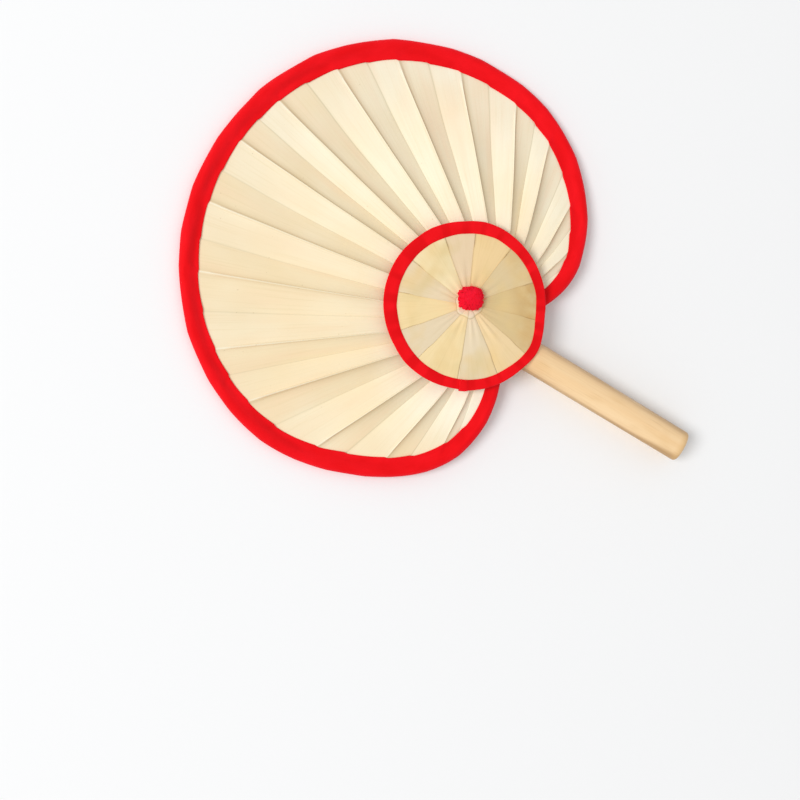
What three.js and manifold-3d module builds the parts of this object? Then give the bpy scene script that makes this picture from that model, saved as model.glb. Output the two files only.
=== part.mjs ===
import * as THREE from 'three';
import { mergeVertices } from 'three/addons/utils/BufferGeometryUtils.js';
import Module from 'manifold-3d';

const wasm = await Module();
wasm.setup();

// A palm leaf hand fan lying face up. Millimetres, +Z out of the face, +Y from the handle to the far rim.
// Plan positions are measured from the pleat centre, the point where all the folds meet.
// A bearing is an angle from +Y toward +X.

// Clearance between pieces that seat on one another
const fit = 0.3;

// Leaf blade
const leafWidth = 290; // over the binding, across the handle
const leafLength = 280; // over the binding, along the handle
const leafReach = 210; // pleat centre to the far rim
const leafThickness = 0.5;
const pleatCount = 17;
const pleatRise = 6; // half the depth of a fold where it is deepest
const hubRise = 1; // half the depth where the folds are pressed at the hub
const rimRise = 1.3; // half the depth where they are pressed in the binding
const deepestShare = 0.18; // where a fold is deepest, as a share of its open length
const bladeBaseRadius = 5; // inner edge of the blade
const levelRadius = 165; // the blade falls from the hub and lies level again outside this radius
const firstFold = -110.5; // bearings of the two side edges, in degrees
const lastFold = 121;

// Lobes: bearings in degrees where the outline leaves its oval, and where it would reach the pleat centre
const leftLobeStart = 79;
const leftLobeEnd = 124;
const rightLobeStart = 71;
const rightLobeEnd = 136;
const rimTuck = 0.38; // the rim ends under the rosettes at this share of the oval's radius

// Rim: a cane hoop inside a folded cloth tape
const hoopDiameter = 5;
const rimTapeThickness = 0.8;
const rimWidth = 13; // from the outer edge to the inner edge of the tape
const rimEndWidth = 9.5; // the same where its two ends are tucked under the rosettes
const rimTaper = 100; // length over which it narrows toward each end
const restFlat = 0.4; // depth of the flat pressed into the underside

// Handle
const handleDiameter = 21;
const handleReach = 156; // pleat centre to the sawn end
const handleOffset = -9; // handle axis from the leaf's midline
const tipReach = 28; // pleat centre to the tip, which lies under the tuft
const tipThickness = 9;
const tonguePlaned = 58; // length planed down toward the tip
const endRound = 2.5; // radius round the sawn end

// Rosettes: one of flat leaf wedges on each face
const rosetteDiameter = 108;
const rosetteOffset = 23.2; // pleat centre to rosette centre, along the handle
const tieOffset = -4.2; // rosettes and tie from the leaf's midline
const rosetteThickness = 0.6;
const wedgeCount = 12;
const firstSeam = 5; // bearing of the first seam, in degrees
const rosetteHole = 7; // diameter left open for the tie
const rosetteTapeWidth = 7.5;
const rosetteTapeThickness = 0.5;
const tapeEndBearing = 240; // where the two ends of a rosette's tape meet, in degrees
const humpSpread = 62; // how far the front rosette's hump over the handle spreads each way, in degrees
const floorGap = 0.15; // under the back rosette

// Tie: yarn through everything, with a tuft in front and a knot behind
const tieDiameter = 3;
const tuftDiameter = 16;
const tuftHeight = 7;
const knotDiameter = 12;
const knotHeight = 2.6;
const knotFloorGap = 0.6;
const yarnLobes = 7;
const yarnLobeDepth = 0.06;

// Mesh steps
const rimSteps = 84;
const rosetteSteps = 60;
const wedgeSteps = 6;
const wedgeRings = 4;
const roundSegments = 32;

// Derived sizes
const rimOuter = hoopDiameter / 2 + fit + rimTapeThickness;
const rimZ = rimOuter - restFlat;
const slotHalf = rimRise + leafThickness / 2 + 2 * fit;
const flapReach = rimWidth - rimOuter;
const handleRadius = handleDiameter / 2;
const rosetteRadius = rosetteDiameter / 2;
const rosetteSlot = rosetteThickness / 2 + fit;
const rosetteHalf = rosetteSlot + rosetteTapeThickness;
const rosetteSheetRadius = rosetteRadius - rosetteHalf;
const backEdgeZ = floorGap + rosetteHalf;
const handleZ = backEdgeZ + rosetteHalf + fit + handleRadius;
const hubRadius = Math.hypot(Math.abs(handleOffset) + handleRadius, tipReach) + fit;
const kerfWidth = 2 * (hubRise + leafThickness / 2 + fit);
const tieHoleRadius = tieDiameter / 2 + fit;
const shiftY = (handleReach - leafReach) / 2;
const toRadians = THREE.MathUtils.degToRad;
const { clamp, lerp, smoothstep } = THREE.MathUtils;

// Half the thickness of the handle's tongue at a place along Y
function tongueHalf(y) {
  const planed = clamp((y - (tipReach - tonguePlaned)) / tonguePlaned, 0, 1);
  return lerp(handleRadius, tipThickness / 2, planed);
}

// Height of the blade's middle: level at the hub, which holds the handle's tip, and falling to the rim
function bladeHeight(radius) {
  return lerp(handleZ, rimZ, smoothstep(radius, hubRadius, levelRadius));
}

// Radius of the hoop's centreline at a bearing: an oval that draws in at the two lobes
function rimRadius(bearing) {
  const across = leafWidth / 2 - rimOuter;
  const along = leafLength / 2 - rimOuter;
  const centre = leafReach - leafLength / 2;
  const sine = Math.sin(bearing);
  const cosine = Math.cos(bearing);
  const a = (sine / across) ** 2 + (cosine / along) ** 2;
  const b = (-2 * cosine * centre) / along ** 2;
  const c = (centre / along) ** 2 - 1;
  const oval = (-b + Math.sqrt(b * b - 4 * a * c)) / (2 * a);
  const start = toRadians(bearing < 0 ? leftLobeStart : rightLobeStart);
  const end = toRadians(bearing < 0 ? leftLobeEnd : rightLobeEnd);
  const drawn = clamp((Math.abs(bearing) - start) / (end - start), 0, 1);
  return oval * Math.sqrt(1 - drawn ** 2);
}

// Bearing at which the rim ends, under the rosettes
function rimEnd(lobeStart, lobeEnd) {
  return toRadians(lerp(lobeStart, lobeEnd, Math.sqrt(1 - rimTuck ** 2)));
}

class RimLine extends THREE.Curve {
  getPoint(t, target = new THREE.Vector3()) {
    const bearing = lerp(-rimEnd(leftLobeStart, leftLobeEnd), rimEnd(rightLobeStart, rightLobeEnd), t);
    const radius = rimRadius(bearing);
    return target.set(radius * Math.sin(bearing), radius * Math.cos(bearing), bladeHeight(radius));
  }
}

const rimLine = new RimLine();
rimLine.arcLengthDivisions = 600;
const rimSamples = rimLine.getSpacedPoints(600);

// Largest radius at a bearing that stays this far inside the hoop's centreline
function insetRadius(bearing, inset) {
  let inside = bladeBaseRadius;
  let outside = rimRadius(bearing);
  for (let round = 0; round < 30; round += 1) {
    const radius = (inside + outside) / 2;
    const x = radius * Math.sin(bearing);
    const y = radius * Math.cos(bearing);
    const near = Math.min(...rimSamples.map((point) => Math.hypot(point.x - x, point.y - y)));
    if (near < inset) {
      outside = radius;
    } else {
      inside = radius;
    }
  }
  return inside;
}

// A closed solid from a geometry's triangles, turned to face out
function solidOf(geometry) {
  const bare = new THREE.BufferGeometry();
  bare.setAttribute('position', geometry.getAttribute('position').clone());
  bare.setIndex(geometry.index);
  const merged = mergeVertices(bare, 1e-4);
  const corners = Array.from(merged.index.array);
  const triangles = [];
  for (let at = 0; at < corners.length; at += 3) {
    const [a, b, c] = corners.slice(at, at + 3);
    if (a !== b && b !== c && a !== c) {
      triangles.push(a, b, c);
    }
  }
  const vertProperties = new Float32Array(merged.getAttribute('position').array);
  const made = (order) => {
    const triVerts = new Uint32Array(order);
    return new wasm.Manifold(new wasm.Mesh({ numProp: 3, vertProperties, triVerts }));
  };
  const solid = made(triangles);
  return solid.volume() > 0 ? solid : made(triangles.slice().reverse());
}

function geometryOf(solid) {
  const mesh = solid.getMesh();
  const geometry = new THREE.BufferGeometry();
  geometry.setAttribute('position', new THREE.BufferAttribute(mesh.vertProperties, 3));
  geometry.setIndex(new THREE.BufferAttribute(mesh.triVerts, 1));
  return geometry;
}

// A closed body from points and quads or triangles
function bodyOf(points, faces) {
  const index = faces.flatMap(([a, b, c, d]) => (d === undefined ? [a, b, c] : [a, b, c, c, d, a]));
  const geometry = new THREE.BufferGeometry().setFromPoints(points);
  geometry.setIndex(index);
  return geometry;
}

// A section of outward and up offsets carried along stations, with an end cap at each end.
// A station may narrow the section's inner side.
function sweep(section, stations) {
  const sides = section.length;
  const points = stations.flatMap(({ origin, outward, up, narrow = 1 }) =>
    section.map(({ x, y }) => {
      const out = x < 0 ? x * narrow : x;
      return origin.clone().addScaledVector(outward, out).addScaledVector(up, y);
    }),
  );
  const faces = [];
  for (let station = 0; station < stations.length - 1; station += 1) {
    for (let side = 0; side < sides; side += 1) {
      const next = (side + 1) % sides;
      const here = station * sides;
      const there = here + sides;
      faces.push([here + side, here + next, there + next, there + side]);
    }
  }
  const last = (stations.length - 1) * sides;
  for (const [a, b, c] of THREE.ShapeUtils.triangulateShape(section, [])) {
    faces.push([c, b, a]);
    faces.push([last + a, last + b, last + c]);
  }
  return bodyOf(points, faces);
}

// A sheet of even thickness over a grid: rows run outward, columns run with the bearing
function sheet(rows, columns, thickness, pointAt) {
  const points = [];
  for (const side of [0.5, -0.5]) {
    for (let row = 0; row < rows; row += 1) {
      for (let column = 0; column < columns; column += 1) {
        points.push(pointAt(row, column).add(new THREE.Vector3(0, 0, side * thickness)));
      }
    }
  }
  const below = rows * columns;
  const at = (row, column) => row * columns + column;
  const faces = [];
  for (let row = 0; row < rows - 1; row += 1) {
    for (let column = 0; column < columns - 1; column += 1) {
      const [near, nearNext] = [at(row, column), at(row, column + 1)];
      const [far, farNext] = [at(row + 1, column), at(row + 1, column + 1)];
      for (const face of [[near, nearNext, farNext], [farNext, far, near]]) {
        faces.push(face);
        faces.push(face.map((corner) => corner + below).reverse());
      }
    }
  }
  const edge = [];
  for (let column = 0; column < columns - 1; column += 1) edge.push(at(0, column));
  for (let row = 0; row < rows - 1; row += 1) edge.push(at(row, columns - 1));
  for (let column = columns - 1; column > 0; column -= 1) edge.push(at(rows - 1, column));
  for (let row = rows - 1; row > 0; row -= 1) edge.push(at(row, 0));
  edge.forEach((corner, step) => {
    const next = edge[(step + 1) % edge.length];
    faces.push([next, corner, corner + below, next + below]);
  });
  return bodyOf(points, faces);
}

const fan = new THREE.Group();
fan.name = 'palm_leaf_fan';

function add(name, geometry, colour, roughness) {
  const material = new THREE.MeshStandardMaterial({ color: colour, roughness });
  const mesh = new THREE.Mesh(geometry.clone().translate(0, shiftY, 0), material);
  mesh.name = name;
  fan.add(mesh);
}

const leafColour = 0xeedfbb;
const wedgeColours = [0xe6cf9c, 0xe9d6ad, 0xdfc79a];
const clothColour = 0xd9161f;
const yarnColour = 0xd81a36;
const woodColour = 0xdcb583;
const caneColour = 0xc7a268;

// A straight bore along Z at the tie
function tieBore(radius) {
  const bore = new THREE.CylinderGeometry(radius, radius, 4 * handleDiameter, roundSegments / 2);
  return solidOf(bore.rotateX(Math.PI / 2).translate(tieOffset, rosetteOffset, handleZ));
}

// Leaf blade: folds run straight out from the pleat centre, deep beside the rosettes and pressed at the rim
const foldLines = 2 * pleatCount + 1;
const openSteps = [0.12, deepestShare, 0.4, 0.55, 0.7, 0.85, 1];
const folds = Array.from({ length: foldLines }, (_, line) => {
  const bearing = toRadians(lerp(firstFold, lastFold, line / (foldLines - 1)));
  const edge = insetRadius(bearing, hoopDiameter / 2 + fit);
  const flap = Math.min(insetRadius(bearing, flapReach + 5 * fit), edge - fit);
  const hub = Math.min(hubRadius, lerp(bladeBaseRadius, flap, 0.6));
  const radii = [bladeBaseRadius, hub, ...openSteps.map((share) => lerp(hub, flap, share)), edge];
  return { bearing, flap, radii, way: line % 2 === 0 ? 1 : -1 };
});

function foldRise(fold, radius) {
  if (fold.flap <= hubRadius || radius <= hubRadius) {
    return hubRise;
  }
  const open = Math.min(1, (radius - hubRadius) / (fold.flap - hubRadius));
  const deepest = lerp(rimRise, pleatRise, Math.min(1, fold.flap / hubRadius - 1));
  if (open < deepestShare) {
    return lerp(hubRise, deepest, open / deepestShare);
  }
  return lerp(deepest, rimRise, (open - deepestShare) / (1 - deepestShare));
}

const bladeSheet = sheet(folds[0].radii.length, foldLines, leafThickness, (row, column) => {
  const fold = folds[column];
  const radius = fold.radii[row];
  const height = bladeHeight(radius) + fold.way * foldRise(fold, radius);
  const clear = Math.max(height, leafThickness / 2 + fit);
  return new THREE.Vector3(radius * Math.sin(fold.bearing), radius * Math.cos(fold.bearing), clear);
});
add('leaf_blade', geometryOf(solidOf(bladeSheet).subtract(tieBore(tieHoleRadius))), leafColour, 0.7);

// Rim: the hoop and the tape share one line, and lean with the blade
const rimStations = Array.from({ length: rimSteps + 1 }, (_, step) => {
  const origin = rimLine.getPointAt(step / rimSteps);
  const along = rimLine.getTangentAt(step / rimSteps);
  const radius = Math.hypot(origin.x, origin.y);
  const slope = (bladeHeight(radius + fit) - bladeHeight(radius - fit)) / (2 * fit);
  const up = new THREE.Vector3((-slope * origin.x) / radius, (-slope * origin.y) / radius, 1).normalize();
  const outward = new THREE.Vector3().crossVectors(up, along).normalize();
  return { origin, outward, up };
});

const hoopSection = new THREE.Shape().absarc(0, 0, hoopDiameter / 2, 0, 2 * Math.PI, false);
add('rim_hoop', sweep(hoopSection.getPoints(4).slice(0, -1), rimStations), caneColour, 0.6);

const flapTop = slotHalf + rimTapeThickness;
const flatInner = flapReach * Math.min(0.8, restFlat / Math.max(restFlat, rimOuter - flapTop));
const rimSection = new THREE.Shape();
rimSection.moveTo(-flapReach, -flapTop);
rimSection.lineTo(-flatInner, -rimZ);
rimSection.absarc(0, 0, rimOuter, -Math.asin(rimZ / rimOuter), Math.PI / 2, false);
rimSection.lineTo(-flapReach, flapTop);
rimSection.lineTo(-flapReach, slotHalf);
rimSection.absarc(0, 0, hoopDiameter / 2 + fit, Math.PI / 2, -Math.PI / 2, true);
rimSection.lineTo(-flapReach, -slotHalf);
const tapeStations = rimStations.map((station, step) => {
  const fromEnd = (Math.min(step, rimSteps - step) / rimSteps) * rimLine.getLength();
  const endShare = (rimEndWidth - rimOuter) / flapReach;
  return { ...station, narrow: lerp(endShare, 1, smoothstep(fromEnd, 0, rimTaper)) };
});
add('rim_binding', sweep(rimSection.getPoints(4), tapeStations), clothColour, 0.9);

// Handle: a dowel planed to a tongue, sawn down the middle for the blade and bored for the tie
const dowelLine = new THREE.Path();
dowelLine.moveTo(0, -handleReach);
dowelLine.lineTo(handleRadius - endRound, -handleReach);
dowelLine.absarc(handleRadius - endRound, endRound - handleReach, endRound, -Math.PI / 2, 0, false);
dowelLine.lineTo(handleRadius, tipReach);
dowelLine.lineTo(0, tipReach);
const dowel = new THREE.LatheGeometry(dowelLine.getPoints(4), roundSegments);
const side = new THREE.Shape([
  new THREE.Vector2(-handleReach - fit, handleDiameter),
  new THREE.Vector2(-handleReach - fit, -handleDiameter),
  new THREE.Vector2(tipReach - tonguePlaned, -handleDiameter),
  new THREE.Vector2(tipReach - tonguePlaned, -handleRadius),
  new THREE.Vector2(tipReach + fit, -tongueHalf(tipReach)),
  new THREE.Vector2(tipReach + fit, tongueHalf(tipReach)),
  new THREE.Vector2(tipReach - tonguePlaned, handleRadius),
  new THREE.Vector2(tipReach - tonguePlaned, handleDiameter),
]);
const sideways = new THREE.Matrix4().makeBasis(
  new THREE.Vector3(0, 1, 0),
  new THREE.Vector3(0, 0, 1),
  new THREE.Vector3(1, 0, 0),
);
const planed = new THREE.ExtrudeGeometry(side, { depth: 2 * handleDiameter, bevelEnabled: false });
planed.translate(0, 0, -handleDiameter).applyMatrix4(sideways);
const sideEdges = [
  [handleOffset - handleRadius, firstFold],
  [handleOffset + handleRadius, lastFold],
];
const edgesBehind = sideEdges.map(([x, bearing]) => -x / Math.tan(toRadians(bearing)));
const kerfBehind = Math.max(bladeBaseRadius, ...edgesBehind) + 4 * fit;
const kerfLength = tipReach + kerfBehind + fit;
const kerf = new THREE.BoxGeometry(2 * handleDiameter, kerfLength, kerfWidth);
kerf.translate(handleOffset, kerfLength / 2 - kerfBehind, handleZ);
const stick = geometryOf(solidOf(dowel).intersect(solidOf(planed))).translate(handleOffset, 0, handleZ);
const handle = solidOf(stick).subtract(solidOf(kerf)).subtract(tieBore(tieHoleRadius));
add('handle', geometryOf(handle), woodColour, 0.55);

// Rosettes: wedges of leaf, straight from a middle height to an edge height, with tape round the edge
const backCentreZ = knotFloorGap + knotHeight + fit + rosetteThickness / 2;
const handleBearing = Math.PI - Math.asin((handleOffset - tieOffset) / rosetteRadius);

// Top of each ridge where it comes out from under the rosette, and how far round the rosette that is
const ridges = folds.filter((fold) => fold.way > 0);
const ridgeTops = ridges.map((fold) => {
  const sine = Math.sin(fold.bearing);
  const cosine = Math.cos(fold.bearing);
  const across = rosetteOffset * sine - tieOffset * cosine;
  const along = rosetteOffset * cosine + tieOffset * sine;
  const radius = along + Math.sqrt(rosetteRadius ** 2 - across ** 2);
  const x = radius * sine - tieOffset;
  const y = radius * cosine - rosetteOffset;
  const top = bladeHeight(radius) + foldRise(fold, radius) + leafThickness / 2;
  return { turned: (1 - Math.cos(Math.atan2(x, y))) / 2, top };
});
const farRidge = ridgeTops.reduce((far, ridge) => (ridge.turned < far.turned ? ridge : far));
const frontFarZ = farRidge.top + 2 * fit + rosetteHalf;
const leans = ridgeTops.map(({ turned, top }) => (top - farRidge.top) / Math.max(turned, 0.1));
const frontLean = Math.max(...leans);
const frontHump = handleZ + handleRadius + 2 * fit + rosetteHalf - frontFarZ - frontLean;

// Height of the front rosette's edge: it leans up toward the handle and humps over it
function frontEdge(bearing) {
  const turn = Math.atan2(Math.sin(bearing - handleBearing), Math.cos(bearing - handleBearing));
  const spread = clamp(turn / toRadians(humpSpread), -1, 1);
  const leaning = (frontLean * (1 - Math.cos(bearing))) / 2;
  return frontFarZ + leaning + frontHump * (0.5 + 0.5 * Math.cos(Math.PI * spread));
}

// Height of the front rosette's middle: the least that clears the ridges and the handle's tongue
let frontCentreZ = frontFarZ;

function clearTop(x, y, top) {
  const share = Math.hypot(x - tieOffset, y - rosetteOffset) / rosetteRadius;
  if (share < 0.95) {
    const edge = frontEdge(Math.atan2(x - tieOffset, y - rosetteOffset));
    const least = top + rosetteThickness / 2 + fit;
    frontCentreZ = Math.max(frontCentreZ, (least - edge * share) / (1 - share));
  }
}

for (const fold of ridges) {
  for (let radius = hubRadius; radius < fold.flap; radius += 2) {
    const top = bladeHeight(radius) + foldRise(fold, radius) + leafThickness / 2;
    clearTop(radius * Math.sin(fold.bearing), radius * Math.cos(fold.bearing), top);
  }
}
for (let y = rosetteOffset - 0.8 * rosetteRadius; y <= tipReach; y += 1) {
  for (let across = -1; across <= 1; across += 0.125) {
    const round = handleRadius * Math.sqrt(1 - across * across);
    clearTop(handleOffset + across * handleRadius, y, handleZ + Math.min(tongueHalf(y), round));
  }
}

function addRosette(face, centreZ, edgeAt) {
  const slopeAt = (bearing) => (edgeAt(bearing) - centreZ) / rosetteRadius;
  const pointAt = (bearing, radius) =>
    new THREE.Vector3(
      tieOffset + radius * Math.sin(bearing),
      rosetteOffset + radius * Math.cos(bearing),
      centreZ + radius * slopeAt(bearing),
    );
  const wedgeAngle = (2 * Math.PI) / wedgeCount;
  for (let wedge = 0; wedge < wedgeCount; wedge += 1) {
    const from = toRadians(firstSeam) + wedge * wedgeAngle;
    const body = sheet(wedgeRings + 1, wedgeSteps + 1, rosetteThickness, (row, column) => {
      const radius = lerp(rosetteHole / 2, rosetteSheetRadius, row / wedgeRings);
      const seam = fit / 2 / radius;
      return pointAt(lerp(from + seam, from + wedgeAngle - seam, column / wedgeSteps), radius);
    });
    const number = String(wedge + 1).padStart(2, '0');
    add(`${face}_rosette_wedge_${number}`, body, wedgeColours[wedge % wedgeColours.length], 0.7);
  }
  const tapeReach = rosetteTapeWidth - rosetteHalf;
  const section = new THREE.Shape();
  section.moveTo(-tapeReach, -rosetteHalf);
  section.absarc(0, 0, rosetteHalf, -Math.PI / 2, Math.PI / 2, false);
  section.lineTo(-tapeReach, rosetteHalf);
  section.lineTo(-tapeReach, rosetteSlot);
  section.absarc(0, 0, rosetteSlot, Math.PI / 2, -Math.PI / 2, true);
  section.lineTo(-tapeReach, -rosetteSlot);
  const gap = fit / 2 / rosetteSheetRadius;
  const stations = Array.from({ length: rosetteSteps + 1 }, (_, step) => {
    const bearing = toRadians(tapeEndBearing) + lerp(gap, 2 * Math.PI - gap, step / rosetteSteps);
    const origin = pointAt(bearing, rosetteSheetRadius);
    const outward = new THREE.Vector3(Math.sin(bearing), Math.cos(bearing), slopeAt(bearing)).normalize();
    const along = pointAt(bearing + gap, rosetteSheetRadius).sub(pointAt(bearing - gap, rosetteSheetRadius));
    const up = new THREE.Vector3().crossVectors(along, outward).normalize();
    return { origin, outward, up };
  });
  add(`${face}_rosette_binding`, sweep(section.getPoints(2), stations), clothColour, 0.9);
}

addRosette('front', frontCentreZ, frontEdge);
addRosette('back', backCentreZ, () => backEdgeZ);

// Tie: a lobed bun of yarn at each end of a straight core
function yarnBun(diameter, height) {
  const share = [[0, 0], [0.62, 0], [0.9, 0.12], [1, 0.38], [0.93, 0.68], [0.7, 0.9], [0.35, 1], [0, 0.97]];
  const profile = share.map(([out, rise]) => new THREE.Vector2((out * diameter) / 2, rise * height));
  const bun = new THREE.LatheGeometry(profile, roundSegments).rotateX(Math.PI / 2);
  const place = bun.getAttribute('position');
  for (let corner = 0; corner < place.count; corner += 1) {
    const turn = Math.atan2(place.getY(corner), place.getX(corner));
    const swell = 1 + yarnLobeDepth * Math.cos(yarnLobes * turn);
    place.setXY(corner, place.getX(corner) * swell, place.getY(corner) * swell);
  }
  return bun;
}

const tuftLift = (Math.max(0, frontEdge(handleBearing) - frontCentreZ) * tuftDiameter) / rosetteDiameter;
const tuftZ = frontCentreZ + tuftLift + rosetteThickness / 2 + fit;
const knotZ = knotFloorGap + knotHeight;
const tuft = yarnBun(tuftDiameter, tuftHeight).translate(tieOffset, rosetteOffset, tuftZ);
add('front_yarn_tuft', geometryOf(solidOf(tuft)), yarnColour, 0.95);
const knot = yarnBun(knotDiameter, knotHeight).rotateX(Math.PI).translate(tieOffset, rosetteOffset, knotZ);
add('back_yarn_knot', geometryOf(solidOf(knot)), yarnColour, 0.95);

const tieLength = tuftZ - knotZ - 2 * fit;
const tie = new THREE.CylinderGeometry(tieDiameter / 2, tieDiameter / 2, tieLength, roundSegments / 2);
tie.rotateX(Math.PI / 2).translate(tieOffset, rosetteOffset, knotZ + fit + tieLength / 2);
add('tie_yarn', geometryOf(solidOf(tie)), yarnColour, 0.95);

export default fan;
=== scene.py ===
import math

import bpy
import numpy as np
from mathutils import Matrix, Vector, noise


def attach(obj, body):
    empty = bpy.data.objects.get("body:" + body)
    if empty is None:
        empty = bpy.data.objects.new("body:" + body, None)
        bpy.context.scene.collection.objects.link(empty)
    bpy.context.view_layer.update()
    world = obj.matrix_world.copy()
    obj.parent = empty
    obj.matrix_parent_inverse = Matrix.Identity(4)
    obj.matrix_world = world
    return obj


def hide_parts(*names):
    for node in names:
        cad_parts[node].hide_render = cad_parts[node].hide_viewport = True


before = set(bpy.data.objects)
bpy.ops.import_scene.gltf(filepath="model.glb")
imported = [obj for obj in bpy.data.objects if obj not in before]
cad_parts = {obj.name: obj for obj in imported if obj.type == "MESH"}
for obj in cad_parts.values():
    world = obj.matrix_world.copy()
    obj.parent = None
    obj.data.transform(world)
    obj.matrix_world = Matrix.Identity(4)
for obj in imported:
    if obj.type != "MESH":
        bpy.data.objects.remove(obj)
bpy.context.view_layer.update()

mm = 0.001  # sizes below are millimetres and degrees, meshes are metres

# Where the pieces lie, as in the solids. Bearings run from +Y toward +X about the pleat centre.
layout = {
    "pleatCentreY": -27.0,
    "tieX": -4.2,
    "tieY": -3.8,
    "handleX": -9.0,
    "handleZ": 13.15,
    "rimZ": 3.2,
}


# Small tools

def blend(start, end, share):
    return start + (end - start) * share


def easeStep(value, low, high):
    share = np.clip((value - low) / (high - low), 0, 1)
    return share * share * (3 - 2 * share)


def between(value, start, end):  # fades in over one range and out over the next
    return easeStep(value, *start) * (1 - easeStep(value, *end))


def colour(red, green, blue):  # as read off a screen, 0 to 255
    def linear(value):
        value = value / 255
        return value / 12.92 if value <= 0.04045 else ((value + 0.055) / 1.055) ** 2.4
    return (linear(red), linear(green), linear(blue), 1)


def ripple(points, scale, seed):  # smooth noise at each point, about -1 to 1
    flat = np.asarray(points).reshape(-1, 3) * scale
    shift = Vector((seed * 7.31, seed * 3.17, seed * 5.93))
    values = [noise.noise(Vector(point) + shift) for point in flat]
    return np.array(values).reshape(np.asarray(points).shape[:-1])


def unit(vectors):
    return vectors / np.linalg.norm(vectors, axis=-1, keepdims=True)


def runAlong(path):  # length of a path up to each of its points
    return np.concatenate([[0], np.cumsum(np.linalg.norm(np.diff(path, axis=0), axis=1))])


def meshPiece(name, points, faces, finish, uv=None, uvName=None):
    points = np.asarray(points, float)
    corners = [(face[0], face[at], face[at + 1]) for face in faces for at in range(1, len(face) - 1)]
    a, b, c = (points[list(side)] for side in zip(*corners))
    if np.einsum("ij,ij->i", a, np.cross(b, c)).sum() < 0:  # inside out
        faces = [tuple(reversed(face)) for face in faces]
    mesh = bpy.data.meshes.new(name)
    mesh.from_pydata((points * mm).tolist(), [], faces)
    mesh.materials.append(finish)
    mesh.shade_smooth()
    if uv is not None:
        at = np.empty(len(mesh.loops), int)
        mesh.loops.foreach_get("vertex_index", at)
        layer = mesh.uv_layers.new(name=uvName)
        layer.data.foreach_set("uv", np.asarray(uv, np.float32)[at].ravel())
    piece = bpy.data.objects.new(name, mesh)
    bpy.context.scene.collection.objects.link(piece)
    return piece


def setMark(piece, name, values, domain="POINT"):
    mark = piece.data.attributes.new(name, "FLOAT", domain)
    mark.data.foreach_set("value", np.asarray(values, np.float32).ravel())


def bothFaces(upper, under):  # one mark for the two faces of a sheet
    return np.concatenate([upper.ravel(), under.ravel()])


def standFor(piece, node):  # the piece is shown in place of a solid
    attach(piece, "root")
    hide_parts(node)


def sheetFaces(rows, columns):  # two faces of a sheet and the walls round its edge
    count = rows * columns
    at = np.arange(count).reshape(rows, columns)
    quads = np.stack([at[:-1, :-1], at[:-1, 1:], at[1:, 1:], at[1:, :-1]], -1).reshape(-1, 4)
    edge = np.concatenate([at[0, :-1], at[:-1, -1], at[-1, :0:-1], at[:0:-1, 0]])
    after = np.roll(edge, -1)
    walls = np.stack([after, edge, edge + count, after + count], -1)
    return [tuple(face) for face in np.concatenate([quads, quads[:, ::-1] + count, walls]).tolist()]


def sheetPiece(name, outer, inner, finish, uv, uvName):
    rows, columns = outer.shape[:2]
    points = np.concatenate([outer.reshape(-1, 3), inner.reshape(-1, 3)])
    both = np.concatenate([uv.reshape(-1, 2)] * 2)
    return meshPiece(name, points, sheetFaces(rows, columns), finish, both, uvName)


def tubePart(path, radii, sides):  # one closed tube along a path
    path = np.asarray(path, float)
    along = unit(np.gradient(path, axis=0))
    side = unit(np.cross(along, (0.31, 0.87, 0.38)))  # a slanting way that no path here follows
    other = np.cross(along, side)
    turn = np.arange(sides) * 2 * math.pi / sides
    ring = side[:, None] * np.cos(turn)[:, None] + other[:, None] * np.sin(turn)[:, None]
    points = (path[:, None] + ring * np.asarray(radii)[:, None, None]).reshape(-1, 3)
    faces = []
    for step in range(len(path) - 1):
        for at in range(sides):
            after = (at + 1) % sides
            here, there = step * sides, (step + 1) * sides
            faces.append((here + at, here + after, there + after, there + at))
    last = (len(path) - 1) * sides
    faces.append(tuple(range(sides))[::-1])
    faces.append(tuple(range(last, last + sides)))
    around = turn[None] / (2 * math.pi)
    uv = np.stack(np.broadcast_arrays(around, runAlong(path)[:, None]), -1).reshape(-1, 2)
    return points, faces, uv


def tubePiece(name, tubes, finish):  # many closed tubes as one piece, each with its own tone
    points, faces, uvs, tones = [], [], [], []
    start = 0
    for number, (path, radii, sides) in enumerate(tubes):
        part, partFaces, uv = tubePart(path, radii, sides)
        points.append(part)
        faces += [tuple(start + at for at in face) for face in partFaces]
        uvs.append(uv)
        tones.append(np.full(len(part), (number * 0.618) % 1))  # neighbours differ
        start += len(part)
    piece = meshPiece(name, np.concatenate(points), faces, finish, np.concatenate(uvs), "strand")
    setMark(piece, "strandTone", np.concatenate(tones))
    return piece


# Finishes

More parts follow.
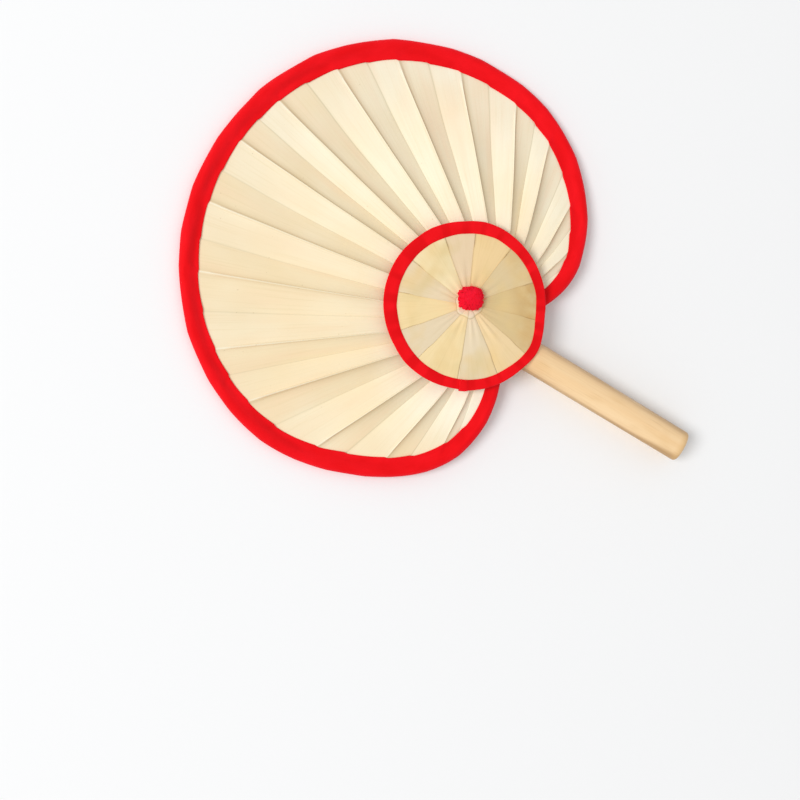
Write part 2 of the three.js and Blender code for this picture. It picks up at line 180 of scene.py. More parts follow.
class Finish:  # a Principled surface with short ways to add nodes in front of it
    def __init__(self, name, roughness, shine):
        self.material = bpy.data.materials.new(name)
        self.material.use_nodes = True
        self.tree = self.material.node_tree
        self.surface = self.tree.nodes["Principled BSDF"]
        self.surface.inputs["Roughness"].default_value = roughness
        self.surface.inputs["Specular IOR Level"].default_value = shine

    def add(self, kind, inputs, **settings):
        node = self.tree.nodes.new("ShaderNode" + kind)
        for key, value in settings.items():
            setattr(node, key, value)
        for key, value in inputs.items():
            self.feed(node.inputs[key], value)
        return node

    def feed(self, socket, value):
        if isinstance(value, bpy.types.NodeSocket):
            self.tree.links.new(value, socket)
        else:
            socket.default_value = value

    def map(self, uvName):
        return self.add("UVMap", {}, uv_map=uvName).outputs["UV"]

    def place(self):
        return self.add("TexCoord", {}).outputs["Object"]

    def mark(self, name):
        return self.add("Attribute", {}, attribute_name=name).outputs["Fac"]

    def stretch(self, vector, scale):
        return self.add("Mapping", {"Vector": vector, "Scale": scale}).outputs["Vector"]

    def noise(self, vector, scale=1.0, detail=3.0, rough=0.55):
        inputs = {"Vector": vector, "Scale": scale, "Detail": detail, "Roughness": rough}
        return self.add("TexNoise", inputs).outputs["Fac"]

    def maths(self, kind, first, second=0.0):
        return self.add("Math", {0: first, 1: second}, operation=kind).outputs["Value"]

    def plus(self, first, second):
        return self.maths("ADD", first, second)

    def times(self, first, second):
        return self.maths("MULTIPLY", first, second)

    def part(self, vector, axis):
        return self.add("SeparateXYZ", {"Vector": vector}).outputs[axis]

    def spread(self, value, low, high, to=1.0):  # low to high becomes 0 to to
        inputs = {"Value": value, "From Min": low, "From Max": high, "To Max": to}
        return self.add("MapRange", inputs, clamp=True).outputs["Result"]

    def mix(self, share, first, second):
        node = self.add("Mix", {}, data_type="RGBA")
        for at, value in ((0, share), (6, first), (7, second)):
            self.feed(node.inputs[at], value)
        return node.outputs[2]

    def ramp(self, value, stops):
        node = self.add("ValToRGB", {"Fac": value})
        dots = node.color_ramp.elements
        while len(dots) < len(stops):
            dots.new(0.5)
        for dot, (at, tint) in zip(dots, stops):
            dot.position = at
            dot.color = tint
        return node.outputs["Color"]

    def sheen(self, weight, tint):  # the soft bloom of cloth and yarn
        self.surface.inputs["Sheen Weight"].default_value = weight
        self.surface.inputs["Sheen Tint"].default_value = tint

    def finish(self, tint, height, depth, strength, roughness=None):
        self.feed(self.surface.inputs["Base Color"], tint)
        if roughness is not None:
            self.feed(self.surface.inputs["Roughness"], roughness)
        bump = self.add("Bump", {"Height": height, "Distance": depth, "Strength": strength})
        self.feed(self.surface.inputs["Normal"], bump.outputs["Normal"])
        return self.material


leafLook = {
    "pale": colour(252, 246, 225),
    "tan": colour(246, 228, 193),
    "blush": colour(248, 221, 191),
    "ripe": colour(250, 223, 170),
    "young": colour(253, 252, 232),
    "fibre": colour(222, 202, 152),
    "crest": colour(255, 250, 228),
    "furrow": colour(176, 166, 122),
    "shade": colour(180, 152, 104),
    "speck": colour(160, 130, 84),
    "outer": (50, 95),  # the blush and the ripeness come in between these radii
    "ripeAcross": (130 * mm, -45 * mm),  # one half of the leaf is riper
    "youngIn": (110, 62),  # and it is paler toward the middle
}


def dryRoughness(f, fibre):  # dull, and duller along the fibres
    return f.plus(f.spread(fibre, 0.2, 0.9, 0.45), 0.3)


def dryLeaf():
    look = leafLook
    f = Finish("dried palm leaf", 0.6, 0.28)
    grain, place = f.map("leafGrain"), f.place()
    fibre = f.noise(f.stretch(grain, (1.3, 0.018, 1)), detail=4)
    fine = f.noise(f.stretch(grain, (4.5, 0.05, 1)), detail=2)
    streak = f.noise(f.stretch(grain, (0.1, 0.012, 1)), detail=2)
    patch = f.noise(place, 22, 2)
    # the facet mark holds random tone and painted shade, so tan and blush also paint warm shade on the
    # fold sides turned from the light
    tone = f.mark("facetToneAndShade")
    shade = f.plus(f.times(tone, 0.55), f.times(patch, 1.1))
    tint = f.mix(f.spread(shade, 0.4, 1.15), look["pale"], look["tan"])
    fromHub = f.part(grain, "Y")
    outward = f.spread(fromHub, *look["outer"])
    blush = f.times(f.spread(streak, 0.45, 0.7, 0.8), f.spread(tone, -0.4, 1))
    tint = f.mix(f.times(blush, outward), tint, look["blush"])
    ripe = f.times(f.spread(f.part(place, "X"), *look["ripeAcross"], 0.4), outward)
    tint = f.mix(ripe, tint, look["ripe"])
    tint = f.mix(f.spread(fromHub, *look["youngIn"], 0.2), tint, look["young"])
    tint = f.mix(f.spread(fibre, 0.52, 0.8, 0.28), tint, look["fibre"])
    tint = f.mix(f.spread(fine, 0.55, 0.8, 0.15), tint, look["fibre"])
    # painted shade in the valleys
    tint = f.mix(f.spread(f.mark("furrow"), 0.15, 1, 0.4), tint, look["furrow"])
    tint = f.mix(f.spread(f.mark("shade"), 0, 1, 0.55), tint, look["shade"])
    # a pale line on the ridges: painted highlight, and the paler rubbed edge of the fold
    tint = f.mix(f.spread(f.mark("crest"), 0.45, 1, 0.7), tint, look["crest"])
    specks = f.noise(f.stretch(grain, (0.9, 0.35, 1)), detail=1)
    tint = f.mix(f.spread(specks, 0.77, 0.82, 0.4), tint, look["speck"])
    height = f.plus(fibre, f.times(fine, 0.6))
    return f.finish(tint, height, 0.1 * mm, 0.35, dryRoughness(f, fibre))


wedgeLook = {
    "tones": [  # places in the wedges' scale of tones
        (0.0, colour(247, 228, 182)),
        (0.2, colour(246, 220, 166)),
        (0.4, colour(242, 217, 183)),
        # a darker stop for the wedges on the side turned from the light: painted shade
        (0.5, colour(216, 189, 136)),
        (0.6, colour(226, 203, 158)),
        (0.8, colour(236, 218, 186)),
        (1.0, colour(243, 212, 158)),
    ],
    "fibre": colour(206, 178, 122),
    "stain": colour(238, 204, 140),
    "olive": colour(218, 196, 138),
    "blot": colour(198, 152, 86),
    "edge": colour(164, 138, 90),
    "collar": colour(240, 225, 200),
}


def rosetteLeaf():
    look = wedgeLook
    f = Finish("flat rosette leaf", 0.6, 0.25)
    grain, place = f.map("leafGrain"), f.place()
    tint = f.ramp(f.mark("wedgeToneAndShade"), look["tones"])
    fibre = f.noise(f.stretch(grain, (1.1, 0.03, 1)), detail=4)
    tint = f.mix(f.spread(f.noise(place, 48, 2), 0.48, 0.74, 0.6), tint, look["stain"])
    olive = f.noise(f.stretch(place, (39, 61, 50)), 1, 2)
    tint = f.mix(f.spread(olive, 0.5, 0.76, 0.45), tint, look["olive"])
    tint = f.mix(f.spread(fibre, 0.5, 0.8, 0.26), tint, look["fibre"])
    cloudy = f.spread(f.noise(f.stretch(place, (90, 70, 80))), 0.3, 0.6, 0.8)
    tint = f.mix(f.times(f.mark("stain"), cloudy), tint, look["blot"])
    tint = f.mix(f.spread(f.mark("collarPale"), 0.1, 1, 0.5), tint, look["collar"])
    # dark seams, painted shadow beside the laps and painted shade in the collar's crease
    tint = f.mix(f.spread(f.mark("seamAndCreaseShade"), 0.2, 1, 0.6), tint, look["edge"])
    return f.finish(tint, fibre, 0.1 * mm, 0.35, dryRoughness(f, fibre))


clothLook = {
    "red": colour(240, 8, 17),
    "lit": colour(251, 16, 27),
    "deep": colour(222, 3, 10),
    "thread": 0.45,  # one thread, in mm
    "sheen": 0.25,
    "sheenTint": (1, 0.22, 0.34, 1),
}


def redCloth():
    look = clothLook
    f = Finish("red cotton tape", 0.75, 0.1)
    f.sheen(look["sheen"], look["sheenTint"])
    weave = f.map("weave")
    across, along = (f.times(f.part(weave, axis), math.pi / look["thread"]) for axis in "XY")
    threads = f.times(f.maths("SINE", across), f.maths("SINE", along))
    slub = f.noise(f.stretch(weave, (2.2, 0.25, 1)), detail=3)
    faded = f.noise(f.stretch(weave, (0.09, 0.035, 1)), detail=2)
    tint = f.mix(f.spread(faded, 0.35, 0.65), look["red"], look["lit"])
    tint = f.mix(f.spread(slub, 0.5, 0.78, 0.3), tint, look["deep"])
    # painted shade in the hollows between threads
    tint = f.mix(f.spread(threads, 0.2, -1, 0.35), tint, look["deep"])
    # painted shade in the creases and puckers of the tapes
    tint = f.mix(f.spread(f.mark("fold"), 0.15, 1, 0.85), tint, look["deep"])
    height = f.plus(threads, f.times(slub, 1.5))
    return f.finish(tint, height, 0.06 * mm, 0.45)


yarnLook = {
    "red": colour(252, 22, 50),
    "deep": colour(244, 14, 40),
    # the colour of the painted highlight on the plies
    "tip": colour(255, 60, 86),
    "plies": 3,
    "twist": 0.9,  # length of one turn, in mm
    "sheen": 0.2,
    "sheenTint": (1, 0.12, 0.2, 1),
}


def redYarn():
    look = yarnLook
    f = Finish("red yarn", 0.95, 0.08)
    f.sheen(look["sheen"], look["sheenTint"])
    strand = f.map("strand")
    around = f.times(f.part(strand, "X"), look["plies"])
    along = f.times(f.part(strand, "Y"), 1 / look["twist"])
    plies = f.maths("SINE", f.times(f.plus(around, along), 2 * math.pi))
    tint = f.mix(f.mark("strandTone"), look["deep"], look["red"])
    # painted highlight on the crowns of the plies
    tint = f.mix(f.spread(plies, 0.2, 1, 0.3), tint, look["tip"])
    return f.finish(tint, plies, 0.1 * mm, 0.4)


woodLook = {
    "pale": colour(251, 218, 171),
    "tan": colour(244, 204, 151),
    "pore": colour(184, 140, 84),
    "worn": colour(222, 178, 116),
    "sideShade": colour(172, 128, 72),
    "pith": (-20 * mm, 0, 1 * mm),  # the rings at the sawn end run about this line
    "ringWidth": 1.8 * mm,
}


def handleWood():
    look = woodLook
    f = Finish("sanded wood", 0.55, 0.3)
    place = f.place()
    wander = f.noise(f.stretch(place, (60, 7, 60)), detail=3)
    layers = f.noise(f.stretch(place, (260, 6, 260)), detail=3)
    tint = f.mix(f.spread(f.plus(wander, layers), 0.7, 1.35), look["pale"], look["tan"])
    pores = f.noise(f.stretch(place, (1100, 34, 1100)), detail=2)
    tint = f.mix(f.spread(pores, 0.58, 0.8, 0.3), tint, look["pore"])
    blotch = f.noise(f.stretch(place, (70, 26, 70)), detail=2)
    tint = f.mix(f.spread(blotch, 0.52, 0.78, 0.55), tint, look["worn"])
    # painted shade on the stick's sides, broken by the grain
    sideShade = f.times(f.mark("sideShade"), f.spread(wander, 0.2, 0.5, 0.8))
    tint = f.mix(sideShade, tint, look["sideShade"])
    tint = f.mix(f.spread(f.mark("sawn"), 0.2, 1, 0.6), tint, look["worn"])
    across = f.stretch(place, (1, 0, 1))
    fromPith = f.add("VectorMath", {0: across, 1: look["pith"]}, operation="DISTANCE").outputs["Value"]
    rings = f.times(fromPith, 2 * math.pi / look["ringWidth"])
    rings = f.maths("SINE", f.plus(rings, f.times(wander, 9)))
    ends = f.times(f.mark("endGrain"), f.spread(rings, 0.1, 1, 0.26))
    tint = f.mix(ends, tint, look["pore"])
    height = f.maths("SUBTRACT", layers, pores)
    return f.finish(tint, height, 0.08 * mm, 0.3, f.spread(pores, 0.1, 1, 0.8))


caneLook = {
    "pale": colour(214, 172, 104),
    "dark": colour(176, 132, 70),
}


def caneSkin():
    f = Finish("bare cane", 0.45, 0.4)
    streak = f.noise(f.stretch(f.place(), (500, 500, 60)), detail=3)
    tint = f.mix(streak, caneLook["pale"], caneLook["dark"])
    return f.finish(tint, streak, 0.05 * mm, 0.4)


leafFinish, wedgeFinish = dryLeaf(), rosetteLeaf()
clothFinish, yarnFinish = redCloth(), redYarn()
woodFinish, caneFinish = handleWood(), caneSkin()
print("finishes ready")


# Rim line: an oval about the leaf that draws in at two lobes beside the handle

rim = {
    "width": 290.0,
    "length": 280.0,
    "reach": 210.0,  # pleat centre to the far rim
    "leftLobe": (79.0, 124.0),  # bearings where a lobe starts to draw in and where it would close
    "rightLobe": (71.0, 136.0),
    "tuck": 0.38,  # the ends lie at this share of the oval's radius
    # Bearing, spread and amount of a flatter stretch on one lobe and a fuller end on the other
    "stretches": ((-80.0, 17.5, -8.5), (123.0, 8.0, 2.2)),
    "hoop": 5.0,  # thickness of the cane
    "hoopStations": 380,
    "hoopSides": 16,
    "tapeThickness": 0.8,
    "tapeWidth": 13.0,
    "endWidth": 9.5,
    "taper": 100.0,  # length over which the tape narrows toward each end
    "slack": 0.3,  # room between cane and cloth
}
rimOuter = rim["hoop"] / 2 + rim["slack"] + rim["tapeThickness"]
flapReach = rim["tapeWidth"] - rimOuter


def rimRadius(bearing):
    across = rim["width"] / 2 - rimOuter
    along = rim["length"] / 2 - rimOuter
    centre = rim["reach"] - rim["length"] / 2
    sine, cosine = np.sin(bearing), np.cos(bearing)
    a = (sine / across) ** 2 + (cosine / along) ** 2
    b = -2 * cosine * centre / along ** 2
    c = (centre / along) ** 2 - 1
    oval = (-b + np.sqrt(b * b - 4 * a * c)) / (2 * a)
    left, right = np.radians(rim["leftLobe"]), np.radians(rim["rightLobe"])
    start = np.where(bearing < 0, left[0], right[0])
    end = np.where(bearing < 0, left[1], right[1])
    drawn = np.clip((np.abs(bearing) - start) / (end - start), 0, 1)
    radius = oval * np.sqrt(1 - drawn ** 2)
    for at, spread, amount in rim["stretches"]:
        radius = radius + amount * np.exp(-((np.degrees(bearing) - at) / spread) ** 2)
    return radius


def bladeHeight(radius):
    fall = easeStep(radius, leaf["hubRadius"], leaf["levelRadius"])
    return blend(layout["handleZ"], layout["rimZ"], fall)


def rimStations(count):  # even steps along the rim: place, outward and up
    share = math.sqrt(1 - rim["tuck"] ** 2)
    first = -math.radians(blend(*rim["leftLobe"], share))
    last = math.radians(blend(*rim["rightLobe"], share))
    bearing = np.linspace(first, last, 6000)
    radius = rimRadius(bearing)
    line = np.stack([radius * np.sin(bearing), radius * np.cos(bearing), bladeHeight(radius)], 1)
    run = runAlong(line)
    steps = np.linspace(0, run[-1], count)
    line = np.stack([np.interp(steps, run, line[:, axis]) for axis in range(3)], 1)
    along = unit(np.gradient(line, axis=0))
    radius = np.hypot(line[:, 0], line[:, 1])
    step = 0.3
    slope = (bladeHeight(radius + step) - bladeHeight(radius - step)) / (2 * step)
    up = unit(np.stack([-slope * line[:, 0] / radius, -slope * line[:, 1] / radius, np.ones(count)], 1))
    outward = unit(np.cross(up, along))
    return line, outward, up, steps


# Leaf blade: straight folds from the pleat centre, deep beside the rosette and pressed at the rim

leaf = {
    "thickness": 0.5,
    # Bearings of the fold lines as they leave the fold centre
    "ridges": (
        -110.5, -93.7, -78.6, -62.9, -46.7, -35.2, -20.8, -8.4, 4,
        14.1, 26.6, 38.7, 51.8, 65.9, 77.5, 93.4, 106, 121,
    ),
    "valleys": (
        -98, -85, -69.1, -53.7, -40.6, -28, -15, -2.3, 9.2,
        20.4, 32.7, 45.1, 58.7, 72.2, 85.5, 99.5, 112,
    ),
    "foldCentre": (0.5, -4.0),  # from the pleat centre
    "baseRadius": 5.0,
    "hubRadius": 34.4,  # held flat between the rosettes up to here
    "levelRadius": 165.0,  # and down at the height of the rim from here
    "rise": 3.3,  # ridges and valleys lie this far over and under the blade's middle
    "deepest": 0.18,  # where they do, as a share of the way from hub to tape
    "hubRise": 1.0,
    "rimRise": 0.7,
    "flatten": 48.0,  # the folds lose their depth over this length before the tape
    "gain": (0.88, 1.02),  # no two folds are quite as deep
    "pinch": 0.9,  # the ridges stand up by this as a thin crest
    "pinchFrom": (50, 62),  # the crest begins between these distances from the tie
    "pinchTo": (1, 8),  # and ends between these lengths before the tape
    "creaseAngle": 22.0,
    "lightBearing": -28.0,  # the sides of the folds that are turned away from this bearing, the key light's, get painted shade: tanner
    "shadeAt": (0, 0.06, 0.14, 0.3, 0.5, 0.75),  # and a painted shadow, darkest just below the ridge
    "shadeBy": (0, 1, 0.8, 0.4, 0.15, 0),
    "lineBy": (0, 1, 0.3, 0, 0, 0),  # farther out only a thin line is left of it
    "lineFrom": (75, 140),
    # Height across a facet, from 1 on the pinched ridge to 0 in the valley
    "facetAt": (0, 0.06, 0.14, 0.3, 0.5, 0.7, 0.86, 0.95, 1),
    "facetHeight": (1, 0.92, 0.82, 0.65, 0.46, 0.28, 0.135, 0.045, 0),
    "sag": 0.3,  # the facets are a little uneven
    "sagFrom": (70, 110),  # outward of these radii
    "sagTo": 25.0,  # and up to this length before the tape
    "floorGap": 0.3,
    "seed": 7,
}
dice = np.random.default_rng(leaf["seed"])
foldBase = np.sort(np.array(leaf["ridges"] + leaf["valleys"], float))
foldCount = len(foldBase)
foldGain = dice.uniform(*leaf["gain"], foldCount)
fallsAway = np.arange(foldCount - 1) % 2 == 0
turnedAway = fallsAway == (foldBase[:-1] > leaf["lightBearing"])
# random tone per facet, plus painted shade on the sides turned away from the light
facetToneAndShade = dice.uniform(0, 0.4, foldCount - 1) + 0.4 * turnedAway
firstFold, lastFold = foldBase[0], foldBase[-1]

rimPlan = rimStations(1200)[0][:, :2]


def insetRadius(bearing, inset):  # largest radius that stays this far inside the hoop
    inside = np.full(len(bearing), leaf["baseRadius"])
    outside = rimRadius(bearing)
    for _ in range(24):
        middle = (inside + outside) / 2
        place = np.stack([middle * np.sin(bearing), middle * np.cos(bearing)], 1)
        near = np.sqrt(((place[:, None] - rimPlan[None]) ** 2).sum(2)).min(1)
        inside = np.where(near >= inset, middle, inside)
        outside = np.where(near >= inset, outside, middle)
    return inside


tableBearing = np.radians(np.linspace(firstFold, lastFold, 380))
tableEdge = insetRadius(tableBearing, rim["hoop"] / 2 + rim["slack"])
tableFlap = insetRadius(tableBearing, flapReach + 5 * rim["slack"])
tableFlap = np.minimum(tableFlap, tableEdge - rim["slack"])


def foldLines(radius):  # bearing of every fold line at these radii, in degrees
    turn = np.radians(foldBase)
    aside = leaf["foldCentre"][0] * np.cos(turn) - leaf["foldCentre"][1] * np.sin(turn)
    aside[[0, -1]] = 0  # the leaf's two sides stay straight to the pleat centre
    return foldBase + np.degrees(aside / np.maximum(np.asarray(radius)[..., None], 60))


def facetSides(lines, facet):
    low = np.take_along_axis(lines, facet[..., None], -1)[..., 0]
    high = np.take_along_axis(lines, facet[..., None] + 1, -1)[..., 0]
    return low, high


def acrossFold(lines, facet, share):
    return np.radians(blend(*facetSides(lines, facet), share))


def ridgeShare(facet, share):  # how far across its facet a place is, from the ridge
    return np.where(facet % 2 == 0, share, 1 - share)


def foldRise(radius, flap):
    share = np.clip((radius - leaf["hubRadius"]) / np.maximum(flap - leaf["hubRadius"], 1e-6), 0, 1)
    deepest = blend(leaf["rimRise"], leaf["rise"], np.clip(flap / leaf["hubRadius"] - 1, 0, 1))
    near = blend(leaf["hubRise"], deepest, share / leaf["deepest"])
    far = blend(leaf["rimRise"], deepest, easeStep(flap - radius, 0, leaf["flatten"]))
    rise = np.where(share < leaf["deepest"], near, far)
    return np.where((flap <= leaf["hubRadius"]) | (radius <= leaf["hubRadius"]), leaf["hubRise"], rise)


def foldHeight(facet, share):  # -1 in a valley to 1 on a ridge, across one facet
    height = np.interp(ridgeShare(facet, share), leaf["facetAt"], leaf["facetHeight"])
    return (2 * height - 1) * blend(foldGain[facet], foldGain[facet + 1], share)


def leafMiddle(bearing, radius):  # height of the blade's middle anywhere, bearing in radians
    lines = foldLines(radius)
    degrees = np.clip(np.degrees(bearing), firstFold, lastFold - 1e-6)
    facet = np.clip((lines <= degrees[..., None]).sum(-1) - 1, 0, foldCount - 2)
    low, high = facetSides(lines, facet)
    share = np.clip((degrees - low) / (high - low), 0, 1)
    flap = np.interp(bearing, tableBearing, tableFlap)
    return bladeHeight(radius) + foldHeight(facet, share) * foldRise(radius, flap)


def makeLeaf():
    # Columns of points run out along every fold line and between them
    falling = np.array(leaf["facetAt"])
    shares = [falling[:-1], 1 - falling[:0:-1]]
    facet = np.repeat(np.arange(foldCount - 1), len(falling) - 1)
    share = np.concatenate([shares[number % 2] for number in range(foldCount - 1)])
    facet, share = np.append(facet, foldCount - 2), np.append(share, 1.0)
    edge = np.full(len(facet), 110.0)  # a first guess, since edge and bearing depend on each other
    for _ in range(4):
        atEdge = acrossFold(foldLines(edge), facet, share)
        edge = np.interp(atEdge, tableBearing, tableEdge)
    flap = np.interp(atEdge, tableBearing, tableFlap)
    hub = np.minimum(leaf["hubRadius"], blend(leaf["baseRadius"], flap, 0.6))
    radius = np.concatenate([
        blend(leaf["baseRadius"], hub, np.linspace(0, 1, 7)[:-1, None]),
        blend(hub, flap, np.linspace(0, 1, 49)[:-1, None]),
        blend(flap, edge, np.linspace(0, 1, 6)[:, None]),
    ])
    facet, share = np.broadcast_to(facet, radius.shape), np.broadcast_to(share, radius.shape)
    bearing = acrossFold(foldLines(radius), facet, share)
    height = bladeHeight(radius) + foldHeight(facet, share) * foldRise(radius, flap)
    x, y = radius * np.sin(bearing), radius * np.cos(bearing)

    # Uneven facets and pinched ridges
    sag = ripple(np.stack([x, y, 0 * x], -1), 0.035, 1) * leaf["sag"]
    sag *= easeStep(radius, *leaf["sagFrom"]) * easeStep(flap - radius, 0, leaf["sagTo"])
    fromRidge = ridgeShare(facet, share)
    crest, furrow = fromRidge < 0.01, fromRidge > 0.99
    fromTie = np.hypot(x - layout["tieX"], y + layout["pleatCentreY"] - layout["tieY"])
    pinch = leaf["pinch"] * crest * easeStep(fromTie, *leaf["pinchFrom"])
    pinch *= easeStep(flap - radius, *leaf["pinchTo"])
    height = np.maximum(height + sag + pinch, leaf["thickness"] / 2 + leaf["floorGap"])

    middle = np.stack([x, y + layout["pleatCentreY"], height], -1)
    half = np.array([0, 0, leaf["thickness"] / 2])
    uv = np.stack([bearing * 120, radius], -1)
    piece = sheetPiece("pleatedLeaf", middle + half, middle - half, leafFinish, uv, "leafGrain")

    # Marks for the finish: from behind, ridges and furrows change places
    setMark(piece, "crest", bothFaces(crest, furrow))
    aside = np.abs(np.sin(bearing - math.radians(leaf["lightBearing"])))
    # painted shade in the valleys, stronger where the folds lie across the light
    furrow = furrow * np.clip(1.3 * aside, 0.55, 1)
    setMark(piece, "furrow", bothFaces(furrow, crest))
    # painted shadow just below each ridge on the side turned from the light, fading to a thin line
    # farther out
    shade = np.interp(fromRidge, leaf["shadeAt"], leaf["shadeBy"])
    thinLine = np.interp(fromRidge, leaf["shadeAt"], leaf["lineBy"])
    shade = blend(shade, thinLine, easeStep(radius, *leaf["lineFrom"]))
    shade *= turnedAway[facet] * np.clip(2 * aside, 0.3, 1)
    setMark(piece, "shade", bothFaces(shade, 0 * shade))
    perFace = facetToneAndShade[facet[:-1, :-1]].ravel()
    walls = len(piece.data.polygons) - 2 * len(perFace)
    setMark(piece, "facetToneAndShade", np.concatenate([perFace, perFace, np.full(walls, 0.5)]), "FACE")
    piece.data.set_sharp_from_angle(angle=math.radians(leaf["creaseAngle"]))
    standFor(piece, "leaf_blade")
    print("leaf blade:", len(leaf["valleys"]), "pleats,", len(piece.data.polygons), "faces")


makeLeaf()


# Hoop: a round cane along the rim, inside the binding

def makeHoop():
    line = rimStations(rim["hoopStations"])[0] + np.array([0, layout["pleatCentreY"], 0])
    radii = np.full(len(line), rim["hoop"] / 2)
    piece = tubePiece("rimHoop", [(line, radii, rim["hoopSides"])], caneFinish)
    standFor(piece, "rim_hoop")
    print("hoop:", len(piece.data.polygons), "faces")


makeHoop()


# Rim binding: a cloth tape folded over the hoop, pressed onto the pleats on both faces

tape = {
    "stations": 760,
    "across": (0, 0.02, 0.05, 0.1, 0.17, 0.25, 0.33, 0.41, 0.49, 0.57, 0.65, 0.73, 0.81, 0.9, 1),
    "roundSteps": 13,
    "offLeaf": 0.12,  # room between cloth and leaf
    "press": 0.2,  # how far the cloth stays off the blade's middle between ridges
    "soft": 0.2,  # how softly it turns there
    "slimAt": (-26.0, 24.0, 1.3),  # bearing, spread and amount of a narrower stretch
    # The bead over the hoop falls off to the flap from the first length inward, at slack places from
    # as far as the crease and the second length
    "beadInner": (6.4, 1.5),
    "beadOuter": 0.2,
    "slackest": 0.8,  # where the cloth is slackest, as a share of the way along a pleat
    "groove": 0.25,  # the soft crease between bead and flap
    "grooveWidth": 2.5,
    "grooveFrom": 3.8,  # it starts this far in at a ridge and slants inward
    "grooveEnd": (0.55, 1.05),  # to this share of the flap's width
    "tuck": 0.4,  # slanting creases where the flap is pressed into some folds
    "tuckWidth": 1.5,
    "tuckSlant": (0.5, 1.3),
    "tuckFade": (3, 8),  # they end between these lengths from the inner edge
    "sink": 0.6,  # this share of a crease presses the cloth down and the rest thins it
    "thinnest": 0.2,
    "edgeRound": 0.5,
    "wrinkle": 0.28,
    "uneven": 0.35,
    "corners": 27,  # the outline runs in this many lengths
    "straight": 0.4,  # and this share of the rim's curve is lost between corners
    "curve": 142.0,  # mean radius of the rim
    "jog": 0.38,  # the inner edge steps by this at each fold
    "edgeWave": 0.3,
    "seed": 3,
}


def roundedEdge(distance, thickness):  # thins a cut edge so that it looks turned under
    part = np.clip(distance / thickness, 0, 1)
    return np.sqrt(1 - (1 - part) ** 2) * 0.65 + 0.35


def cornerRun(dice, count, length):  # where lengths of uneven size meet along a tape
    corners = dice.uniform(0.6, 1.4, count).cumsum()
    return corners * (length / corners[-1])


def tapePiece(name, node, outer, inner, fold, run, shift):  # a tape is one closed sheet
    across = np.linalg.norm(np.diff(outer, axis=1), axis=2).cumsum(1)
    across = np.concatenate([np.zeros((len(run), 1)), across], 1)
    uv = np.stack([across, np.broadcast_to(run[:, None], across.shape)], -1)
    piece = sheetPiece(name, outer + shift, inner + shift, clothFinish, uv, "weave")
    setMark(piece, "fold", bothFaces(fold, fold))
    standFor(piece, node)


